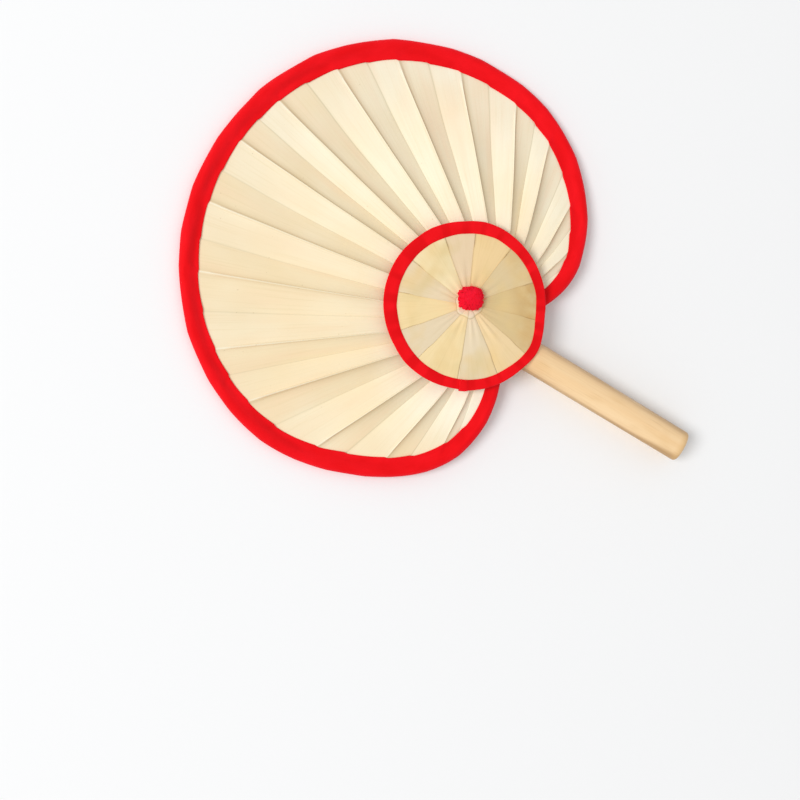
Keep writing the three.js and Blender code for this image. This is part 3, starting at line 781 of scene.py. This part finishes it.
def makeRimTape():
    line, outward, up, run = rimStations(tape["stations"])
    dice = np.random.default_rng(tape["seed"])
    hoopRadius = rim["hoop"] / 2 + rim["slack"]
    flat = 0 * run
    fromEnd = np.minimum(run, run[-1] - run)
    narrow = blend((rim["endWidth"] - rimOuter) / flapReach, 1, easeStep(fromEnd, 0, rim["taper"]))

    # Where each fold line meets the tape, as a length along it
    inner = line - outward * flapReach
    bearing = np.degrees(np.arctan2(inner[:, 0], inner[:, 1]))
    lines = foldLines(np.hypot(inner[:, 0], inner[:, 1]))
    foldRun = np.array([np.interp(0, bearing - lines[:, number], run) for number in range(foldCount)])
    slimAt, slimSpread, slimBy = tape["slimAt"]
    slim = slimBy * np.exp(-((bearing - slimAt) / slimSpread) ** 2)
    facet = np.clip(np.searchsorted(foldRun, run) - 1, 0, foldCount - 2)
    share = np.clip((run - foldRun[facet]) / (foldRun[facet + 1] - foldRun[facet]), 0, 1)
    jog = tape["jog"] * (1 - 2 * share) * easeStep(np.minimum(share, 1 - share), 0, 0.06)
    wave = ripple(np.stack([run * 0.06, flat, flat], -1), 1, tape["seed"]) * tape["edgeWave"]

    # The soft crease and the slack cloth of each pleat, and the tucks at its folds
    ridgeRun = foldRun[::2]
    pleat = np.clip(np.searchsorted(ridgeRun, run) - 1, 0, len(ridgeRun) - 2)
    alongPleat = np.clip((run - ridgeRun[pleat]) / np.diff(ridgeRun)[pleat], 0, 1)
    grooveEnd = dice.uniform(*tape["grooveEnd"], len(ridgeRun))
    grooveDepth = dice.uniform(0.05, 1, len(ridgeRun))[pleat] * easeStep(alongPleat, 0, 0.2)
    grooveDepth = grooveDepth * (1 - easeStep(alongPleat, 0.85, 1))
    top = tape["slackest"]
    slack = np.where(alongPleat < top, (alongPleat / top) ** 1.3, (1 - alongPleat) / (1 - top))
    tuckDepth = np.clip(dice.uniform(-0.8, 1, foldCount), 0, 1)  # some folds have none
    tuckSlant = dice.uniform(*tape["tuckSlant"], foldCount)
    tuckSlant = tuckSlant * np.where(dice.uniform(0, 1, foldCount) > 0.2, 1, -1)  # a few slant back

    def flap(way):  # outside and inside of one flap, and how deep its creases are
        full = flapReach * narrow + (wave + jog) * way - slim
        reach = full[:, None] * (1 - np.array(tape["across"]))
        fromEdge = full[:, None] - reach
        place = line[:, None] - outward[:, None] * reach[..., None]
        radius = np.hypot(place[..., 0], place[..., 1])
        middle = bladeHeight(radius)
        leafRise = leafMiddle(np.arctan2(place[..., 0], place[..., 1]), radius) - middle
        lift = leafRise * way + leaf["thickness"] / 2 + tape["offLeaf"]
        lift = tape["soft"] * np.logaddexp(lift / tape["soft"], tape["press"] / tape["soft"])
        nearest, past = tape["beadInner"]
        beadInner = blend(nearest, full * grooveEnd[pleat] + past, slack)[:, None]
        bead = easeStep(-reach / beadInner, -1, -tape["beadOuter"] / beadInner)
        lift = blend(lift, hoopRadius, bead)
        slant = run[:, None, None] - foldRun - tuckSlant * fromEdge[..., None]
        tuck = (tuckDepth * np.exp(-(slant / tape["tuckWidth"]) ** 2)).sum(-1)
        tuck *= 1 - easeStep(fromEdge, *tape["tuckFade"])
        grooveAt = blend(tape["grooveFrom"], full * grooveEnd[pleat], alongPleat ** 1.5)[:, None]
        groove = grooveDepth[:, None] * np.exp(-((reach - grooveAt) / tape["grooveWidth"]) ** 2)
        fold = tape["groove"] * groove + tape["tuck"] * tuck * easeStep(fromEdge, 0, 1)
        spots = np.stack([run[:, None] * 0.12 + reach * 0.1, reach * 0.2, 0 * reach + way], -1)
        puff = tape["wrinkle"] * ripple(spots, 1, 5) * easeStep(fromEdge, 0, 2)
        thick = rim["tapeThickness"] * roundedEdge(fromEdge, tape["edgeRound"]) + puff
        under = place + up[:, None] * (way * (lift - tape["sink"] * fold))[..., None]
        thick = np.maximum(thick - (1 - tape["sink"]) * fold, tape["thinnest"])
        over = under + up[:, None] * (way * thick)[..., None]
        # the mark returned here darkens the cloth: painted shade in the groove and the tucks
        return over, under, np.clip(0.55 * groove + 0.45 * tuck, 0, 1)

    # The bead over the hoop
    angle = np.radians(np.linspace(90, -90, tape["roundSteps"] + 2)[1:-1])
    sine, cosine = np.sin(angle), np.cos(angle)
    ring = outward[:, None] * cosine[None, :, None] + up[:, None] * sine[None, :, None]
    spots = np.stack(np.broadcast_arrays(run[:, None] * 0.05, sine[None] * 0.7, 0.0), -1)
    corners = cornerRun(dice, tape["corners"], run[-1])
    uneven = tape["uneven"] * np.interp(run, corners, dice.uniform(-1, 1, tape["corners"]))
    before = np.concatenate([[0], corners[:-1]])
    length = np.clip(np.searchsorted(corners, run), 0, tape["corners"] - 1)
    bow = (run - before[length]) * (corners[length] - run) / (2 * tape["curve"])
    uneven += tape["straight"] * (bow.mean() - bow)
    bead = rimOuter + tape["wrinkle"] * ripple(spots, 1, 9) + uneven[:, None] * cosine
    bead = np.maximum(bead, hoopRadius + 0.3)

    topOver, topUnder, topFold = flap(1)
    lowOver, lowUnder, lowFold = flap(-1)
    outer = np.concatenate([topOver, line[:, None] + ring * bead[..., None], lowOver[:, ::-1]], 1)
    inner = np.concatenate([topUnder, line[:, None] + ring * hoopRadius, lowUnder[:, ::-1]], 1)
    outer[..., 2] = np.maximum(outer[..., 2], 0)
    inner[..., 2] = np.maximum(inner[..., 2], 0.3)
    fold = np.concatenate([topFold, np.zeros((len(line), len(angle))), lowFold[:, ::-1]], 1)
    shift = np.array([0, layout["pleatCentreY"], 0])
    tapePiece("rimTape", "rim_binding", outer, inner, fold, run, shift)


makeRimTape()


# Rosettes: twelve flat wedges of leaf on each face, with cloth tape round the edge

rosette = {
    "radius": 54.0,
    "sheetRadius": 52.9,
    "thickness": 0.35,
    "hole": 3.5,
    # Heights of the middle and of the far edge, its lean up to the near edge, and a hump there
    "front": {"centre": 20.31, "far": 16.4, "lean": 7.6, "hump": 1.34, "humpAt": 185.1},
    "back": {"centre": 3.8, "far": 1.25, "lean": 0.0, "hump": 0.0, "humpAt": 180.0},
    "humpSpread": 62.0,
    # The disc is a little out of round: bearing, spread and amount of each bulge or flat
    "outOfRound": ((86, 27, 1.6), (158, 14, -1.4), (184, 12, 1.1)),
    "seams": (8, 41, 67, 99, 132, 163, 191, 218, 250, 285, 310, 340),  # bearings about the seam centre
    "seamCentre": (1.6, -1.0),  # from the rosette's centre
    # How dark the seam at the start of each wedge is: its dark joint and the painted shadow of the lap
    # beside it
    "seamDark": (0.5, 0.85, 0.85, 0.6, 0.45, 0.15, 0.35, 0.8, 0.8, 0.3, 0.45, 0.3),
    # each wedge's tone; the darker ones, wedges five and six on the side turned from the light, are
    # painted shade
    "tones": (0.0, 0.42, 1.0, 0.6, 0.52, 0.54, 0.95, 0.78, 0.15, 0.76, 0.2, 0.84),
    # How far the outer end of each wedge is stained, and between which radii
    "stains": (0, 0, 0, 0.35, 1, 0.55, 0, 0, 0, 0, 0, 0),
    "stainFrom": (24, 46),
    "inTape": 0.3,  # the wedges end this far inside the tape's fold
    "overlap": 0.6,  # one side of each wedge lies over its neighbour
    "overlapTo": (34, 40),  # inside these radii
    "step": 0.32,
    "gripped": (40, 47),  # outside these the tape holds the wedges flat
    "slit": 0.06,  # gap left between them there
    "crown": 0.25,
    "sway": 0.9,
    "flute": 0.34,  # fine folds that run out from the tuft
    "fluteFrom": (8, 13),
    "fluteTo": (14, 36),
    "creased": (6, 0.4, 0.7),  # one wedge has a crease: which, where across it and how high
    "creaseHalf": 0.12,  # half its width, as a share of the wedge's
    "creaseFrom": (9, 15),
    "creaseTo": (24, 40),
    "collar": (0.6, 8.7),  # the tips are creased up toward the tuft: height and radius
    "collarSlope": 1.1,
    "collarCrease": 0.45,
    "collarAngular": 0.06,  # it has six faint corners
    "seed": 11,
}


def edgeHeight(face, bearing):
    turn = bearing - math.radians(face["humpAt"])
    turn = np.arctan2(np.sin(turn), np.cos(turn))
    spread = np.clip(turn / math.radians(rosette["humpSpread"]), -1, 1)
    hump = face["hump"] * (0.5 + 0.5 * np.cos(math.pi * spread))
    return face["far"] + face["lean"] * (1 - np.cos(bearing)) / 2 + hump


def rosetteHeight(face, x, y):  # x and y from the rosette's centre
    rise = edgeHeight(face, np.arctan2(x, y)) - face["centre"]
    return face["centre"] + np.hypot(x, y) / rosette["radius"] * rise


def outOfRound(bearing):
    shift = 0 * bearing
    for at, spread, amount in rosette["outOfRound"]:
        turn = (np.degrees(bearing) - at + 180) % 360 - 180
        shift = shift + amount * np.exp(-(turn / spread) ** 2)
    return shift


def makeWedges(side, way):
    face = rosette[side]
    dice = np.random.default_rng(rosette["seed"] + way)
    seams = rosette["seams"] + (rosette["seams"][0] + 360,)
    centreX, centreY = rosette["seamCentre"]
    outerRadius = rosette["sheetRadius"] - rosette["inTape"]
    rows = np.concatenate([np.linspace(0, 0.16, 22)[:-1], np.linspace(0.16, 1, 24)])  # finer by the tuft
    across = np.concatenate([[0, 0.015, 0.04], np.linspace(0.1, 0.9, 11), [0.96, 1]])  # and at the seams
    arch = 4 * across * (1 - across)
    creased, creaseAt, creaseHeight = rosette["creased"]
    collarHeight, collarRadius = rosette["collar"]
    for number in range(len(seams) - 1):
        # Plan of the wedge, its start lapped over the neighbour
        start, end = math.radians(seams[number]), math.radians(seams[number + 1])
        ray = blend(start, end, across)
        along = centreX * np.sin(ray) + centreY * np.cos(ray)
        reach = np.sqrt(outerRadius ** 2 - centreX ** 2 - centreY ** 2 + along ** 2) - along
        radius = blend(rosette["hole"], reach + outOfRound(ray), rows[:, None])
        loose = 1 - easeStep(radius, *rosette["overlapTo"])
        low = start - blend(-rosette["slit"] / 2, rosette["overlap"], loose) / radius
        high = end - rosette["slit"] / 2 / radius
        sway = math.radians(rosette["sway"]) * np.sin(rows * math.pi)[:, None] * dice.uniform(-1, 1)
        bearing = blend(low, high, across) + sway * arch
        x = centreX + radius * np.sin(bearing)
        y = centreY + radius * np.cos(bearing)

        # Its height
        crown = rosette["crown"] * dice.uniform(0.2, 1.5)
        flutes = np.sin(across * math.pi * dice.integers(3, 6) + dice.uniform(0, 6))
        held = 1 - easeStep(radius, *rosette["gripped"])
        lift = (rosette["step"] * (1 - across) + crown * arch) * held
        nearTuft = between(radius, rosette["fluteFrom"], rosette["fluteTo"])
        lift = lift + rosette["flute"] * flutes * arch * nearTuft
        if number == creased:
            tent = creaseHeight * np.clip(1 - np.abs(across - creaseAt) / rosette["creaseHalf"], 0, 1)
            lift = lift + tent * between(radius, rosette["creaseFrom"], rosette["creaseTo"])
        corner = collarRadius * (1 + rosette["collarAngular"] * np.cos(6 * bearing + 0.6))
        collar = 1 - easeStep(radius, corner - rosette["collarSlope"], corner)
        crease = np.exp(-((radius - corner) / rosette["collarCrease"]) ** 2)
        height = rosetteHeight(face, x, y) + way * (np.maximum(lift, 0) + collarHeight * collar)
        middle = np.stack([x + layout["tieX"], y + layout["tieY"], height], -1)
        half = np.array([0, 0, way * rosette["thickness"] / 2])
        uv = np.stack([(bearing - start) * 30 + number * 17, radius], -1)
        name = "%sWedge%02d" % (side, number + 1)
        piece = sheetPiece(name, middle + half, middle - half, wedgeFinish, uv, "leafGrain")

        # Its tone, partly painted shade on the front, in another order on the back, and the dark of its
        # seam, partly painted shadow, and of the collar's crease, painted shade
        tone = rosette["tones"][number if way > 0 else (number * 5 + 3) % 12]
        setMark(piece, "wedgeToneAndShade", np.full(len(piece.data.vertices), tone))
        fromSeam = across * radius * (end - start)
        # a thin dark joint with a wider painted shadow beside it
        edge = 0.75 * np.exp(-fromSeam / 0.35) + 0.35 * np.exp(-fromSeam / 2)
        edge = np.clip(edge, 0, 1) * rosette["seamDark"][number]
        # painted shade in the collar's crease
        edge = np.maximum(edge, 0.8 * crease)
        stain = easeStep(radius, *rosette["stainFrom"]) * rosette["stains"][number]
        for mark, values in (("seamAndCreaseShade", edge), ("collarPale", collar), ("stain", stain)):
            setMark(piece, mark, bothFaces(values, values))
        standFor(piece, "%s_rosette_wedge_%02d" % (side, number + 1))
    print(side, "rosette:", len(seams) - 1, "wedges")


# The tape folded over a rosette's edge
edging = {
    "thickness": 0.5,
    "width": 7.5,  # on each face
    "offCentre": (1.4, 6.0),  # the front flap is wider on one side: by how much, and its bearing
    "offWedge": 0.15,  # room between cloth and wedges
    "joint": 240.0,
    "lap": 6.0,  # the ends overlap by this
    "lapRise": (7.0, 4.0),  # one climbs onto the other between these lengths before its end
    "lapGap": 0.05,
    "corners": 26,  # the outside runs in short, nearly straight lengths
    "cornerBy": 0.35,
    "edgeWave": 0.3,  # the inner edge wavers by this
    "edgeRound": 0.35,
    "puff": (0.3, 0.5),  # the flaps are a little full: everywhere, and more or less at the puckers
    "puffFrom": 2.2,  # from this length off the inner edge
    "lump": 0.1,
    "stations": 420,
    "across": (0, 0.03, 0.08, 0.16, 0.28, 0.42, 0.56, 0.7, 0.85, 1),
    "roundSteps": 9,
}


def makeRosetteTape(side, way):
    face = rosette[side]
    joint = math.radians(edging["joint"])
    lapTurn = edging["lap"] / rosette["sheetRadius"]
    bearing = joint + np.linspace(0, 2 * math.pi + lapTurn, edging["stations"])
    run = (bearing - joint) * rosette["sheetRadius"]
    radius = rosette["sheetRadius"] + outOfRound(bearing)
    x, y = radius * np.sin(bearing), radius * np.cos(bearing)
    line = np.stack([x, y, rosetteHeight(face, x, y)], 1)
    slope = (edgeHeight(face, bearing) - face["centre"]) / rosette["radius"]
    outward = unit(np.stack([np.sin(bearing), np.cos(bearing), slope], 1))
    up = unit(np.cross(np.gradient(line, axis=0), outward))

    half = rosette["thickness"] / 2 + edging["offWedge"]
    flapWidth = edging["width"] - half - edging["thickness"]
    shares = np.array(edging["across"])
    wave = ripple(np.stack([run * 0.1, 0 * run, 0 * run + way], -1), 1, 4) * edging["edgeWave"]
    lap = easeStep(run, *(run[-1] - np.array(edging["lapRise"])))
    lap = lap * (edging["thickness"] + edging["lapGap"])
    puckers = ripple(np.stack([run * 0.16, 0 * run, 0 * run + way * 3], -1), 1, 6)
    dice = np.random.default_rng(rosette["seed"] + 2 * way)
    corners = cornerRun(dice, edging["corners"], run[-1])
    uneven = np.interp(run, corners, dice.uniform(-1, 1, edging["corners"])) * edging["cornerBy"]
    wider, widerAt = edging["offCentre"]
    wider = wider * np.cos(bearing - math.radians(widerAt)) * (side == "front")
    full, fuller = edging["puff"]
    puff = full + fuller * puckers[:, None]

    def flap(hand):  # outside and inside of one flap, from its inner edge to the fold
        width = (flapWidth + wave * hand + wider * (hand == way))[:, None]
        reach = width * (1 - shares)
        fromEdge = width - reach
        lift = half + lap[:, None] + 0 * reach
        thick = edging["thickness"] * roundedEdge(fromEdge, edging["edgeRound"])
        inward = easeStep(reach, 1, flapWidth)
        thick = thick + puff * inward * easeStep(fromEdge, 0, edging["puffFrom"])
        inner = line[:, None] - outward[:, None] * reach[..., None]
        inner = inner + up[:, None] * (hand * lift)[..., None]
        return inner + up[:, None] * (hand * thick)[..., None], inner

    # The fold between the flaps
    angle = np.radians(np.linspace(90, -90, edging["roundSteps"] + 2)[1:-1])
    ring = outward[:, None] * np.cos(angle)[None, :, None] + up[:, None] * np.sin(angle)[None, :, None]
    arcInner = line[:, None] + ring * (half + lap)[:, None, None]
    lump = ripple(arcInner, 0.16, 8) * edging["lump"] + uneven[:, None] * np.cos(angle)
    arcRadius = (half + edging["thickness"] + lap)[:, None] + lump
    arcOuter = line[:, None] + ring * arcRadius[..., None]

    topOuter, topInner = flap(1)
    lowOuter, lowInner = flap(-1)
    outer = np.concatenate([topOuter, arcOuter, lowOuter[:, ::-1]], 1)
    inner = np.concatenate([topInner, arcInner, lowInner[:, ::-1]], 1)
    outer[..., 2] = np.maximum(outer[..., 2], 0.05)
    inner[..., 2] = np.maximum(inner[..., 2], 0.3)
    inward = np.concatenate([1 - shares, np.zeros(len(angle)), (1 - shares)[::-1]])
    # painted shade where the flaps sink between the puckers
    fold = np.clip(0.5 - 2.5 * puckers, 0, 1)[:, None] * (0.6 + 0.4 * inward)
    shift = np.array([layout["tieX"], layout["tieY"], 0])
    tapePiece(side + "RosetteTape", side + "_rosette_binding", outer, inner, fold, run, shift)


for side, way in (("front", 1), ("back", -1)):
    makeWedges(side, way)
    makeRosetteTape(side, way)


# Handle: a sanded dowel planed to a tongue, split for the blade and bored for the tie

handle = {
    "diameter": 21.0,
    "reach": 158.0,
    "tip": 28.0,
    "tipThickness": 9.0,
    "planed": 58.0,
    "endRound": 2.8,
    "sawTilt": 15.0,  # the end is sawn a little askew
    "tiltFade": 26.0,
    "sawnFade": 9.0,  # and darker by its edge
    "sideShadeFrom": 0.35,  # painted shade: the side of the stick away from the key light is darker from this share of its radius
    "edgeShade": (0.85, 0.5),  # and so is the other side's edge, also painted shade, wider toward the sawn end
    "edgeShadeFade": 45.0,
    "kerfWidth": 3.1,
    "kerfBehind": 8.5,
    "bore": 1.8,
    "waver": 0.12,
    "sharpAngle": 35.0,
    "sides": 64,
}


def handleHalf(y):
    share = np.clip((y - (handle["tip"] - handle["planed"])) / handle["planed"], 0, 1)
    return blend(handle["diameter"] / 2, handle["tipThickness"] / 2, share)


def cutPiece(piece, points, faces):  # takes a closed shape out of a piece
    cutter = meshPiece("cutter", points, faces, woodFinish)
    cut = piece.modifiers.new("cut", "BOOLEAN")
    cut.operation = "DIFFERENCE"
    cut.solver = "EXACT"
    cut.object = cutter
    seen = piece.evaluated_get(bpy.context.evaluated_depsgraph_get())
    mesh = bpy.data.meshes.new_from_object(seen)
    piece.modifiers.clear()
    piece.data = mesh
    bpy.data.objects.remove(cutter)


def boxShape(low, high):
    xs, ys, zs = zip(low, high)
    points = [(x, y, z) for x in xs for y in ys for z in zs]
    faces = [(0, 1, 3, 2), (4, 6, 7, 5), (0, 4, 5, 1), (2, 3, 7, 6), (0, 2, 6, 4), (1, 5, 7, 3)]
    return points, faces


def makeHandle():
    radius, turnIn = handle["diameter"] / 2, handle["endRound"]
    start, tip = -handle["reach"], handle["tip"]
    angle = np.linspace(math.pi / 2, 0, 9)

    # Places along the stick and its radius there, from the middle of the sawn face to that of the tip
    face = [(start, share * (radius - turnIn)) for share in (0.25, 0.55, 0.8, 0.95)]
    ends = [(start + turnIn * (1 - math.sin(a)), radius - turnIn * (1 - math.cos(a))) for a in angle]
    body = [(y, radius) for y in np.linspace(start + turnIn, tip, 96)[1:]]
    close = [(tip, radius * share) for share in (0.8, 0.5, 0.2)]
    profile = np.array(face + ends + body + close)
    turn = np.arange(handle["sides"]) * 2 * math.pi / handle["sides"]
    x = profile[:, 1, None] * np.cos(turn)
    z = profile[:, 1, None] * np.sin(turn)
    y = np.broadcast_to(profile[:, 0, None], x.shape)
    tilted = 1 - easeStep(y, start, start + handle["tiltFade"])
    y = y + z * math.tan(math.radians(handle["sawTilt"])) * tilted
    nearEnd = 1 - easeStep(y, start, start + handle["edgeShadeFade"])
    # painted shade: darker on the side away from the light and along the other edge
    sideShade = easeStep(x / radius, handle["sideShadeFrom"], 0.95)
    sideShade = sideShade + easeStep(-x / radius, blend(*handle["edgeShade"], nearEnd), 1)
    waver = ripple(np.stack([x * 0.08, y * 0.02, z * 0.08], -1), 1, 6) * handle["waver"]
    x, z = x * (1 + waver / radius), z * (1 + waver / radius)
    half = handleHalf(profile[:, 0])[:, None]
    z = np.clip(z, -half, half)
    x, y, z = x + layout["handleX"], y + layout["pleatCentreY"], z + layout["handleZ"]
    points = np.stack([x, y, z], -1).reshape(-1, 3)
    rows, sides = len(profile), handle["sides"]
    at = np.arange(rows * sides).reshape(rows, sides)
    after = np.roll(at, -1, 1)
    quads = np.stack([at[:-1], after[:-1], after[1:], at[1:]], -1).reshape(-1, 4)
    faces = [tuple(face) for face in quads.tolist()]
    faces += [tuple(at[0][::-1].tolist()), tuple(at[-1].tolist())]
    piece = meshPiece("handleStick", points, faces, woodFinish)
    sawn = 1 - easeStep(profile[:, 0], start, start + handle["sawnFade"])
    setMark(piece, "sawn", np.repeat(sawn, sides))
    setMark(piece, "sideShade", sideShade)
    setMark(piece, "endGrain", np.repeat(np.arange(rows) <= len(face), sides))

    # Kerf and bore run out past the stick on both sides
    kerf = np.array([20, 0, handle["kerfWidth"] / 2])
    kerfFrom = (layout["handleX"], layout["pleatCentreY"] - handle["kerfBehind"], layout["handleZ"])
    kerfTo = (layout["handleX"], layout["pleatCentreY"] + tip + 5, layout["handleZ"])
    cutPiece(piece, *boxShape(kerfFrom - kerf, kerfTo + kerf))
    bore = [(layout["tieX"], layout["tieY"], height) for height in (-5, 40)]
    cutPiece(piece, *tubePart(bore, [handle["bore"]] * 2, 24)[:2])
    piece.data.shade_smooth()
    piece.data.set_sharp_from_angle(angle=math.radians(handle["sharpAngle"]))
    standFor(piece, "handle")
    print("handle:", len(piece.data.polygons), "faces")


makeHandle()


# Tie: a clipped yarn tuft in front, a flat knot behind

goldenTurn = 2.39996  # spreads strands evenly round a middle

tuft = {
    "base": 21.7,
    "half": 7.4,  # half its width
    "turned": 30.4,  # it is clipped to a rounded square, turned by this
    "square": 3.5,  # 2 would be round
    "stretch": (0.95, 1.12),
    "height": 6.2,
    "dome": 0.5,  # the clipped top is lower by this share at its edge
    "lean": (5.0, 1.0),
    "foot": 3.4,  # the strands start within this of the tie
    "bulge": 1.4,
    "clear": 0.9,  # they stay this far over the base
    "strands": 190,
    "along": (0, 0.25, 0.5, 0.75, 0.88, 0.95, 0.99, 1),
    "taper": (0.8, 1, 1, 1.05, 1.05, 1, 0.9, 0.65),
    "yarn": 1.05,
    "hairs": 260,
    "hair": (0.1, 0.09, 0.07, 0.04),
    "hairLength": (0.7, 1.5),
    "seed": 5,
}


def makeTuft():
    dice = np.random.default_rng(tuft["seed"])
    root = np.array([layout["tieX"], layout["tieY"], tuft["base"]])
    lean = np.array([*tuft["lean"], 0])
    turned = math.radians(tuft["turned"])

    def clipped(turn, share):  # outline of the clipped top and its height
        tall, wide = tuft["stretch"]
        power = tuft["square"]
        square = abs(math.cos(turn - turned) / tall) ** power
        square += abs(math.sin(turn - turned) / wide) ** power
        reach = tuft["half"] * square ** (-1 / power) * share
        return reach, tuft["height"] * (1 - tuft["dome"] * share ** 5)

    tubes = []
    for number in range(tuft["strands"]):  # from the middle outward
        share = math.sqrt((number + 0.5) / tuft["strands"])
        turn = number * goldenTurn + dice.uniform(-0.15, 0.15)
        reach, top = clipped(turn, share)
        reach *= dice.uniform(0.95, 1.03)
        top *= dice.uniform(0.95, 1.02)
        aim = np.array([math.cos(turn), math.sin(turn), 0])
        foot = root + aim * share * tuft["foot"] + lean * 0.6
        tip = root + aim * reach + lean + np.array([0, 0, top])
        middle = (foot + tip) / 2 + aim * share * tuft["bulge"] + np.array([0, 0, (1 - share) * 0.6])
        t = np.array(tuft["along"])[:, None]
        path = foot * (1 - t) ** 2 + middle * 2 * t * (1 - t) + tip * t ** 2
        path[1:4] += dice.normal(0, 0.1, (3, 3))
        path[:, 2] = np.maximum(path[:, 2], tuft["base"] + tuft["clear"])
        tubes.append((path, tuft["yarn"] * np.array(tuft["taper"]), 7))
    for _ in range(tuft["hairs"]):  # loose fibres on the clipped top
        turn, share = dice.uniform(0, 2 * math.pi), math.sqrt(dice.uniform(0.3, 1))
        reach, top = clipped(turn, share)
        aim = np.array([math.cos(turn), math.sin(turn), 0])
        foot = root + lean + aim * reach * 0.94 + np.array([0, 0, top * 0.94])
        way = aim * share * 1.1 + np.array([0, 0, 0.8]) + dice.normal(0, 0.6, 3)
        length = dice.uniform(*tuft["hairLength"])
        bend = dice.normal(0, 0.4, 3)
        path = [foot + way * length * t + bend * t * t for t in (0, 0.4, 0.75, 1)]
        tubes.append((path, tuft["hair"], 3))
    piece = tubePiece("yarnTuft", tubes, yarnFinish)
    standFor(piece, "front_yarn_tuft")
    print("tuft:", tuft["strands"], "strands")


makeTuft()

knot = {
    "top": 3.1,
    "bottom": 0.75,
    "radius": 7.0,
    "yarn": 0.75,
    "turns": 14,
    "bow": 2.4,  # a turn passes the middle at up to this distance
    "seed": 8,
}


def makeKnot():
    dice = np.random.default_rng(knot["seed"])
    middle = np.array([layout["tieX"], layout["tieY"], 0])
    low = knot["bottom"] + knot["yarn"]
    tubes = []
    for number in range(knot["turns"]):
        turn = number * goldenTurn
        aim = np.array([math.cos(turn), math.sin(turn), 0])
        side = np.array([-math.sin(turn), math.cos(turn), 0])
        bow = dice.uniform(-knot["bow"], knot["bow"])
        t = np.linspace(-1, 1, 15)
        drop = low + (knot["top"] - knot["bottom"] - 2 * knot["yarn"]) * t ** 2
        drop += (number % 3) * 0.12  # the turns lie over each other
        reach = knot["radius"] * (0.8 + 0.2 * dice.uniform(0, 1)) - knot["yarn"]
        bent = t * math.pi / 2
        path = middle + aim * (reach * np.sin(bent))[:, None] + side * (bow * np.cos(bent))[:, None]
        path[:, 2] = np.clip(drop, low, knot["top"] - knot["yarn"])
        tubes.append((path, np.full(len(t), knot["yarn"]), 7))
    piece = tubePiece("backKnot", tubes, yarnFinish)
    standFor(piece, "back_yarn_knot")
    print("knot:", knot["turns"], "turns of yarn")


makeKnot()

# The yarn between them keeps its solid
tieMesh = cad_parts["tie_yarn"].data
tieMesh.materials.clear()
tieMesh.materials.append(yarnFinish)


# Camera, floor and light

view = {
    "place": (-177.4, 211.8, 845.7),
    "aim": (-75.4, 0.0, 0.0),
    "roll": 93.5,
    "lens": 61.2,
    "sensor": 36.0,
}
studio = {
    "floorColour": (0.965, 0.97, 0.975, 1),
    "floorHalf": 3000.0,
    "floorDrop": 0.3,
    "keyFrom": (-0.5, 0.87),  # plan direction of the key light
    "keyTilt": 50.0,
    "keyAway": 5.0,
    "keySize": 2.0,
    "keyPower": 125.0,
    "sky": 0.6,
    "backdrop": 0.95,  # what is seen above the floor
}


def makeCamera():
    camera = bpy.data.objects.new("camera", bpy.data.cameras.new("camera"))
    camera.data.lens = view["lens"]
    camera.data.sensor_width = view["sensor"]
    camera.data.clip_start = 0.01
    place, aim = Vector(view["place"]) * mm, Vector(view["aim"]) * mm
    camera.location = place
    turn = (aim - place).to_track_quat("-Z", "Y").to_matrix().to_4x4()
    camera.rotation_euler = (turn @ Matrix.Rotation(math.radians(view["roll"]), 4, "Z")).to_euler()
    bpy.context.scene.collection.objects.link(camera)
    bpy.context.scene.camera = camera


def makeFloor():
    f = Finish("pale floor", 0.9, 0.1)
    f.surface.inputs["Base Color"].default_value = studio["floorColour"]
    half = studio["floorHalf"]
    corners = ((-half, -half), (half, -half), (half, half), (-half, half))
    points = [(x, y, -studio["floorDrop"]) for x, y in corners]
    floor = meshPiece("floor", points, [(0, 1, 2, 3)], f.material)


def makeKeyLight():
    key = bpy.data.objects.new("key", bpy.data.lights.new("key", "AREA"))
    key.data.shape = "DISK"
    key.data.size = studio["keySize"]
    key.data.energy = studio["keyPower"]
    tilt = math.radians(studio["keyTilt"])
    plan = Vector((*studio["keyFrom"], 0)).normalized() * math.cos(tilt)
    away = Vector((plan.x, plan.y, math.sin(tilt)))
    key.location = away * studio["keyAway"]
    key.rotation_euler = away.to_track_quat("Z", "Y").to_euler()
    bpy.context.scene.collection.objects.link(key)


def makeSky():  # soft light all round, seen as a pale backdrop
    world = bpy.data.worlds.new("studio")
    world.use_nodes = True
    nodes, links = world.node_tree.nodes, world.node_tree.links
    sky = nodes["Background"]
    sky.inputs["Color"].default_value = (1, 1, 1, 1)
    rays = nodes.new("ShaderNodeLightPath").outputs
    seen = rays["Is Camera Ray"]
    for kind in ("Is Glossy Ray", "Is Transmission Ray"):
        either = nodes.new("ShaderNodeMath")
        either.operation = "MAXIMUM"
        links.new(seen, either.inputs[0])
        links.new(rays[kind], either.inputs[1])
        seen = either.outputs["Value"]
    level = nodes.new("ShaderNodeMapRange")
    level.inputs["To Min"].default_value = studio["sky"]
    level.inputs["To Max"].default_value = studio["backdrop"]
    links.new(seen, level.inputs["Value"])
    links.new(level.outputs["Result"], sky.inputs["Strength"])
    bpy.context.scene.world = world


bpy.context.scene.view_settings.view_transform = "Standard"
makeCamera()
makeFloor()
makeKeyLight()
makeSky()
print("camera, floor and light set")
